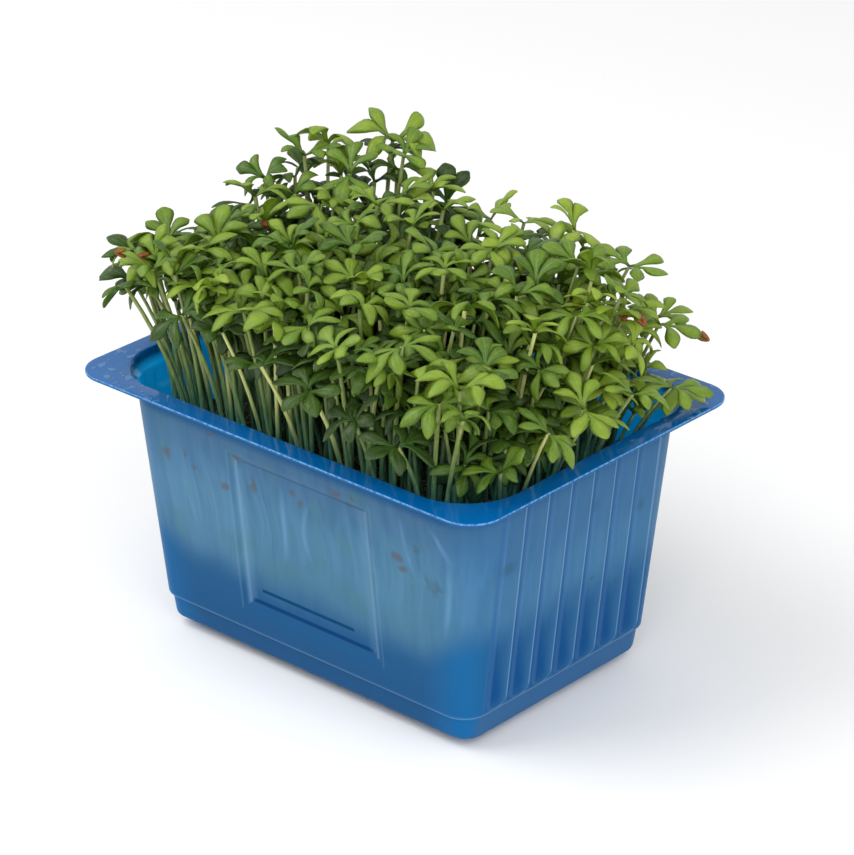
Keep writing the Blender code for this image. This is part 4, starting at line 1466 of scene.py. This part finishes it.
def split_husk(growth, hinge, along, side, across, draw):
    """A split seed coat: two flat valves, joined at the far end and open towards the leaf."""
    for way in (-1, 1):
        opening = HUSK_OPEN * draw.uniform(*HUSK_OPENINGS)
        valve = along * math.cos(opening) + across * way * math.sin(opening)
        lift = across * math.cos(opening) - along * way * math.sin(opening)
        middle = hinge - valve * HUSK_LENGTH * HUSK_MIDDLE
        husk_points(growth, middle, valve, side, lift * HUSK_FLATNESS, HUSK_LENGTH, HUSK_WIDTH,
                    draw)


def coat_finish():
    """Red brown seed coat with darker flecks."""
    finish = Finish("seed_coat")
    spot, _ = finish.place()
    fleck = finish.noise(spot, 2.2, 3.0)
    light = ((fleck - 0.35) * 1.8 + finish.mark("tone") * 0.3).clamped()
    return finish.surface(base=finish.blend(light, HUSK_DARK, HUSK_LIGHT), rough=0.5, specular=0.2,
                          normal=finish.bump(fleck, 0.0002, 0.8))


def coat_carriers(grown, everyone):
    """Plant and leaflet of each seed coat: the solids' ones, then those by the added places."""
    numbered = {(owner, member): plant for owner, member, plant in grown}
    carriers = [(numbered[owner, member], leaflet) for owner, member, leaflet in SEED_COATS]
    leaflets = [(plant, index) for plant in everyone for index in range(LEAFLETS)]
    for place in ADDED_COATS:
        carriers.append(min(leaflets, key=lambda item: (leaflet_points(*item)[1] - place).length))
    for plant, leaflet in carriers:
        plant["held"] = leaflet
    return carriers


def add_grown(name, growth, finish):
    """Make a piece of grown points and faces, with every face turned outwards."""
    piece = add_piece(name, growth.points, growth.faces, [finish],
                      {"tone": growth.marks["tone"]})
    face_outwards(piece)
    return piece


def build_seed_coats(carriers):
    """The seed coats that still sit on leaf tips."""
    finish = coat_finish()
    for count, (plant, leaflet) in enumerate(carriers):
        side = leaflet_frame(plant, leaflet)[1]
        _, tip, _, ridge = leaflet_points(plant, leaflet)
        along = (tip - ridge).normalized()
        across = along.cross(side).normalized()
        growth = Growth()
        draw = random.Random(COAT_SEED + count)
        split_husk(growth, tip + along * HUSK_LENGTH * HUSK_HINGE, along, side, across, draw)
        piece = add_grown(f"tip_seed_coat_{count + 1}", growth, finish)
        if count < len(SEED_COATS):
            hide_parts(f"seed_coat_{count + 1}")


def face_outwards(piece):
    shape = bmesh.new()
    shape.from_mesh(piece.data)
    bmesh.ops.recalc_face_normals(shape, faces=shape.faces)
    shape.to_mesh(piece.data)
    shape.free()


# Growing medium with the seed coats and root hairs that lie on it
MEDIUM_RINGS = 26
MEDIUM_COLUMNS = 96
MEDIUM_SINK = 0.0004
MEDIUM_EDGE_DROP = 0.0012
# Share of the medium's width where its edge starts to fall, and over which it falls
MEDIUM_EDGE = (0.93, 0.07)
OUTLINE_TRIES = 30
# Of the coarse and the fine unevenness: how many to the metre, and the height
COARSE_BUMPS = (260.0, 0.0009)
FINE_BUMPS = (900.0, 0.0004)
BED_COATS = 340
BED_REACH = 0.94
BED_COAT_LENGTH = 0.00256
BED_COAT_WIDTH = 0.00152
BED_COAT_LIFT = 0.0006
BED_COAT_TILT = 0.5
HAIR_COUNT = 900
HAIR_REACH = 0.78
HAIR_ROWS = 6
HAIR_SIDES = 3
HAIR_LENGTH = 0.0075
HAIR_CURL = 0.0016
HAIR_RISE = 0.0009
HAIR_RADIUS = 0.00011
HAIR_THINNING = 0.6
FIBRE_DARK = srgb(46, 44, 26)
FIBRE_LIGHT = srgb(104, 96, 56)
FIBRE_HAIR = srgb(196, 190, 150)
HAIR_CREAM = srgb(206, 202, 168)
HAIR_BROWN = srgb(150, 132, 88)


def medium_outline(angle, half_x, half_y, corner):
    """The point where a ray from the middle meets a rounded rectangle."""
    way = around(angle)
    near, far = 0.0, half_x + half_y
    for _ in range(OUTLINE_TRIES):
        reach = (near + far) / 2
        if inside_distance(way.x * reach, way.y * reach, half_x, half_y, corner) > 0.0:
            near = reach
        else:
            far = reach
    return way * near


def medium_edge():
    """The medium's top outline, a little inside the solid's."""
    _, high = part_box("growing_medium")
    turns = [math.tau * column / MEDIUM_COLUMNS for column in range(MEDIUM_COLUMNS)]
    return [medium_outline(turn, high.x - GAP, high.y - GAP, MEDIUM_CORNER) for turn in turns]


def medium_height(x, y):
    coarse = noise.noise(Vector((x, y, 0.0)) * COARSE_BUMPS[0]) * COARSE_BUMPS[1]
    fine = noise.noise(Vector((x, y, 7.0)) * FINE_BUMPS[0]) * FINE_BUMPS[1]
    return MEDIUM_TOP - MEDIUM_SINK + coarse + fine


def build_medium():
    """A block of wet fibre with a rough top, down to the tray's floor."""
    low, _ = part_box("growing_medium")
    rim = medium_edge()
    points = [Vector((0.0, 0.0, medium_height(0.0, 0.0)))]
    for ring in range(1, MEDIUM_RINGS + 1):
        share = ring / MEDIUM_RINGS
        drop = MEDIUM_EDGE_DROP * smooth((share - MEDIUM_EDGE[0]) / MEDIUM_EDGE[1])
        for column in range(MEDIUM_COLUMNS):
            spot = rim[column] * share
            points.append(Vector((spot.x, spot.y, medium_height(spot.x, spot.y) - drop)))
    floor_half_x = TRAY_LENGTH / 2 - MEDIUM_FLOOR_INSET
    floor_half_y = TRAY_WIDTH / 2 - MEDIUM_FLOOR_INSET
    for column in range(MEDIUM_COLUMNS):
        turn = math.tau * column / MEDIUM_COLUMNS
        foot = medium_outline(turn, floor_half_x, floor_half_y, FOOT_CORNER)
        points.append(Vector((foot.x, foot.y, low.z + GAP)))
    faces = []
    for column in range(MEDIUM_COLUMNS):
        after = (column + 1) % MEDIUM_COLUMNS
        faces.append((0, 1 + column, 1 + after))
        for ring in range(MEDIUM_RINGS):
            here = 1 + ring * MEDIUM_COLUMNS
            there = here + MEDIUM_COLUMNS
            faces.append((here + column, there + column, there + after, here + after))
    last = 1 + MEDIUM_RINGS * MEDIUM_COLUMNS
    faces.append([last + column for column in range(MEDIUM_COLUMNS)][::-1])
    piece = add_piece("wet_fibre_block", points, faces, [fibre_finish()])
    face_outwards(piece)
    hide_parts("growing_medium")


def fibre_finish():
    """Dark wet fibre with pale root hairs."""
    finish = Finish("wet_fibre")
    spot, _ = finish.place()
    fibre = finish.noise(spot, 1.3, 5.0, 0.65)
    hair = finish.noise(finish.stretched(spot, (3.2, 1.1, 1.0)), 1.0, 3.0)
    base = finish.layered(FIBRE_DARK, (fibre.between(0.35, 0.7), FIBRE_LIGHT),
                          (hair.between(0.62, 0.70) * 0.7, FIBRE_HAIR))
    return finish.surface(base=base, rough=0.75, normal=finish.bump(fibre, 0.0006))


def build_seed_bed():
    """Empty seed coats scattered over the medium."""
    draw = random.Random(BED_SEED)
    growth = Growth()
    rim = medium_edge()
    for _ in range(BED_COATS):
        spot = draw.choice(rim) * math.sqrt(draw.uniform(0.0, BED_REACH))
        along = around(draw.uniform(0.0, math.tau))
        along.z = draw.uniform(-BED_COAT_TILT, BED_COAT_TILT)
        along.normalize()
        side = along.orthogonal().normalized()
        across = along.cross(side)
        middle = Vector((spot.x, spot.y, medium_height(spot.x, spot.y) + BED_COAT_LIFT))
        husk_points(growth, middle, along, side, across, BED_COAT_LENGTH, BED_COAT_WIDTH, draw)
    add_grown("seed_coats_on_medium", growth, coat_finish())


def build_root_hairs():
    """Fine pale hairs that lie over the medium between the stems' feet."""
    draw = random.Random(HAIR_SEED)
    growth = Growth()
    rim = medium_edge()
    for _ in range(HAIR_COUNT):
        spot = draw.choice(rim) * math.sqrt(draw.uniform(0.0, HAIR_REACH))
        way = around(draw.uniform(0.0, math.tau))
        aside = Vector((-way.y, way.x, 0.0))
        curl = draw.uniform(-HAIR_CURL, HAIR_CURL)
        length = draw.uniform(HAIR_LENGTH / 2, HAIR_LENGTH)
        tone = draw.random()
        rows = []
        for row in range(HAIR_ROWS):
            share = row / (HAIR_ROWS - 1)
            middle = spot + way * length * (share - 0.5) + aside * curl * share ** 2
            rise = HAIR_RISE * math.sin(math.pi * share)
            middle.z = medium_height(middle.x, middle.y) + HAIR_RADIUS + rise
            radius = HAIR_RADIUS * (1.0 - HAIR_THINNING * abs(2.0 * share - 1.0))
            rows.append([])
            for side in range(HAIR_SIDES):
                angle = math.tau * side / HAIR_SIDES
                edge = aside * math.cos(angle) + Vector((0.0, 0.0, 1.0)) * math.sin(angle)
                rows[-1].append(growth.point(middle + edge * radius, tone, share, 0.0))
        growth.tube(rows)
    add_grown("root_hairs", growth, hair_finish())


def hair_finish():
    """Cream root hairs, some of them browner."""
    finish = Finish("root_hair")
    spot, _ = finish.place()
    stain = (finish.mark("tone") * 0.6 + (finish.noise(spot, 0.8) - 0.5)).clamped()
    base = finish.blend(stain, HAIR_CREAM, HAIR_BROWN)
    return finish.surface(base=base, rough=0.45, specular=0.4)


# Studio
FLOOR_REACH = 6.0
# The soft boxes' sides and places
KEY_BOX = (0.9, (-0.55, -0.55, 0.95))
FILL_BOX = (0.8, (0.9, -0.2, 0.6))
FRONT_BOX = (0.6, (0.62, -0.85, 0.75))


def build_stage(look):
    """The floor, the three soft boxes, the white surround and the camera."""
    scene = bpy.context.scene
    scene.view_settings.view_transform = "Standard"
    mesh = bpy.data.meshes.new("floor")
    corners = [(x * FLOOR_REACH, y * FLOOR_REACH, 0.0)
               for x, y in ((-1, -1), (1, -1), (1, 1), (-1, 1))]
    mesh.from_pydata(corners, [], [(0, 1, 2, 3)])
    floor = bpy.data.objects.new("floor", mesh)
    scene.collection.objects.link(floor)
    finish = Finish("floor")
    floor.data.materials.append(finish.surface(base=finish.colour(look.floor), rough=0.9))
    add_light("key_light", look.key_power, *KEY_BOX)
    add_light("fill_light", look.fill_power, *FILL_BOX)
    add_light("front_light", look.front_power, *FRONT_BOX)
    world = bpy.data.worlds.new("surround")
    scene.world = world
    world.use_nodes = True
    background = world.node_tree.nodes["Background"]
    background.inputs["Color"].default_value = (1.0, 1.0, 1.0, 1.0)
    background.inputs["Strength"].default_value = look.sky
    add_camera()


def add_light(name, power, size, place):
    light = bpy.data.lights.new(name, "AREA")
    light.energy = power
    light.size = size
    lamp = bpy.data.objects.new(name, light)
    lamp.location = place
    aim = Vector((0.0, 0.0, TRAY_HEIGHT)) - Vector(place)
    lamp.rotation_euler = aim.to_track_quat("-Z", "Y").to_euler()
    bpy.context.scene.collection.objects.link(lamp)


def add_camera():
    """The photo's view: a long lens from the tray's front corner, looking down."""
    right = around(VIEW_AZIMUTH)
    level = math.cos(VIEW_ELEVATION)
    back = Vector((math.sin(VIEW_AZIMUTH) * level, -math.cos(VIEW_AZIMUTH) * level,
                   math.sin(VIEW_ELEVATION)))
    up = back.cross(right)
    data = bpy.data.cameras.new("camera")
    data.lens = VIEW_LENS
    data.sensor_width = VIEW_SENSOR
    data.clip_start, data.clip_end = VIEW_CLIP
    camera = bpy.data.objects.new("camera", data)
    rim = Vector((0.0, 0.0, TRAY_HEIGHT))
    camera.location = rim + back * VIEW_DISTANCE + right * VIEW_RIGHT - up * VIEW_DOWN
    camera.rotation_euler = (-back).to_track_quat("-Z", "Y").to_euler()
    bpy.context.scene.collection.objects.link(camera)
    bpy.context.scene.camera = camera


# Operators
class MICROGREENS_OT_tray(bpy.types.Operator):
    """Build the blue plastic tray"""
    bl_idname = "microgreens.tray"
    bl_label = "Tray"

    def execute(self, context):
        build_tray(context.scene.tray_look)
        return {"FINISHED"}


class MICROGREENS_OT_medium(bpy.types.Operator):
    """Build the growing medium and the seed coats that lie on it"""
    bl_idname = "microgreens.medium"
    bl_label = "Growing medium"

    def execute(self, context):
        build_medium()
        build_seed_bed()
        build_root_hairs()
        return {"FINISHED"}


class MICROGREENS_OT_cress(bpy.types.Operator):
    """Grow the cress and set the last seed coats on its leaf tips"""
    bl_idname = "microgreens.cress"
    bl_label = "Cress"

    def execute(self, context):
        carriers = build_cress(context.scene.cress_look)
        build_seed_coats(carriers)
        return {"FINISHED"}


class MICROGREENS_OT_stage(bpy.types.Operator):
    """Set up the floor, the lights and the camera"""
    bl_idname = "microgreens.stage"
    bl_label = "Studio"

    def execute(self, context):
        build_stage(context.scene.stage_look)
        return {"FINISHED"}


class MICROGREENS_PT_panel(bpy.types.Panel):
    """Lists the steps of the tray"""
    bl_label = "Microgreens tray"
    bl_idname = "MICROGREENS_PT_panel"
    bl_space_type = "VIEW_3D"
    bl_region_type = "UI"
    bl_category = "Microgreens"

    def draw(self, context):
        for step in STEPS:
            self.layout.operator(step.bl_idname)
        for look in (context.scene.tray_look, context.scene.cress_look, context.scene.stage_look):
            for name in look.__annotations__:
                self.layout.prop(look, name)


STEPS = (MICROGREENS_OT_tray, MICROGREENS_OT_medium, MICROGREENS_OT_cress, MICROGREENS_OT_stage)
CLASSES = (TrayLook, CressLook, StageLook, *STEPS, MICROGREENS_PT_panel)


def register():
    for item in CLASSES:
        bpy.utils.register_class(item)
    bpy.types.Scene.tray_look = PointerProperty(type=TrayLook)
    bpy.types.Scene.cress_look = PointerProperty(type=CressLook)
    bpy.types.Scene.stage_look = PointerProperty(type=StageLook)


def unregister():
    del bpy.types.Scene.tray_look
    del bpy.types.Scene.cress_look
    del bpy.types.Scene.stage_look
    for item in reversed(CLASSES):
        bpy.utils.unregister_class(item)


def main():
    register()
    bpy.ops.microgreens.stage()
    bpy.ops.microgreens.tray()
    bpy.ops.microgreens.medium()
    bpy.ops.microgreens.cress()


if __name__ == "__main__":
    main()
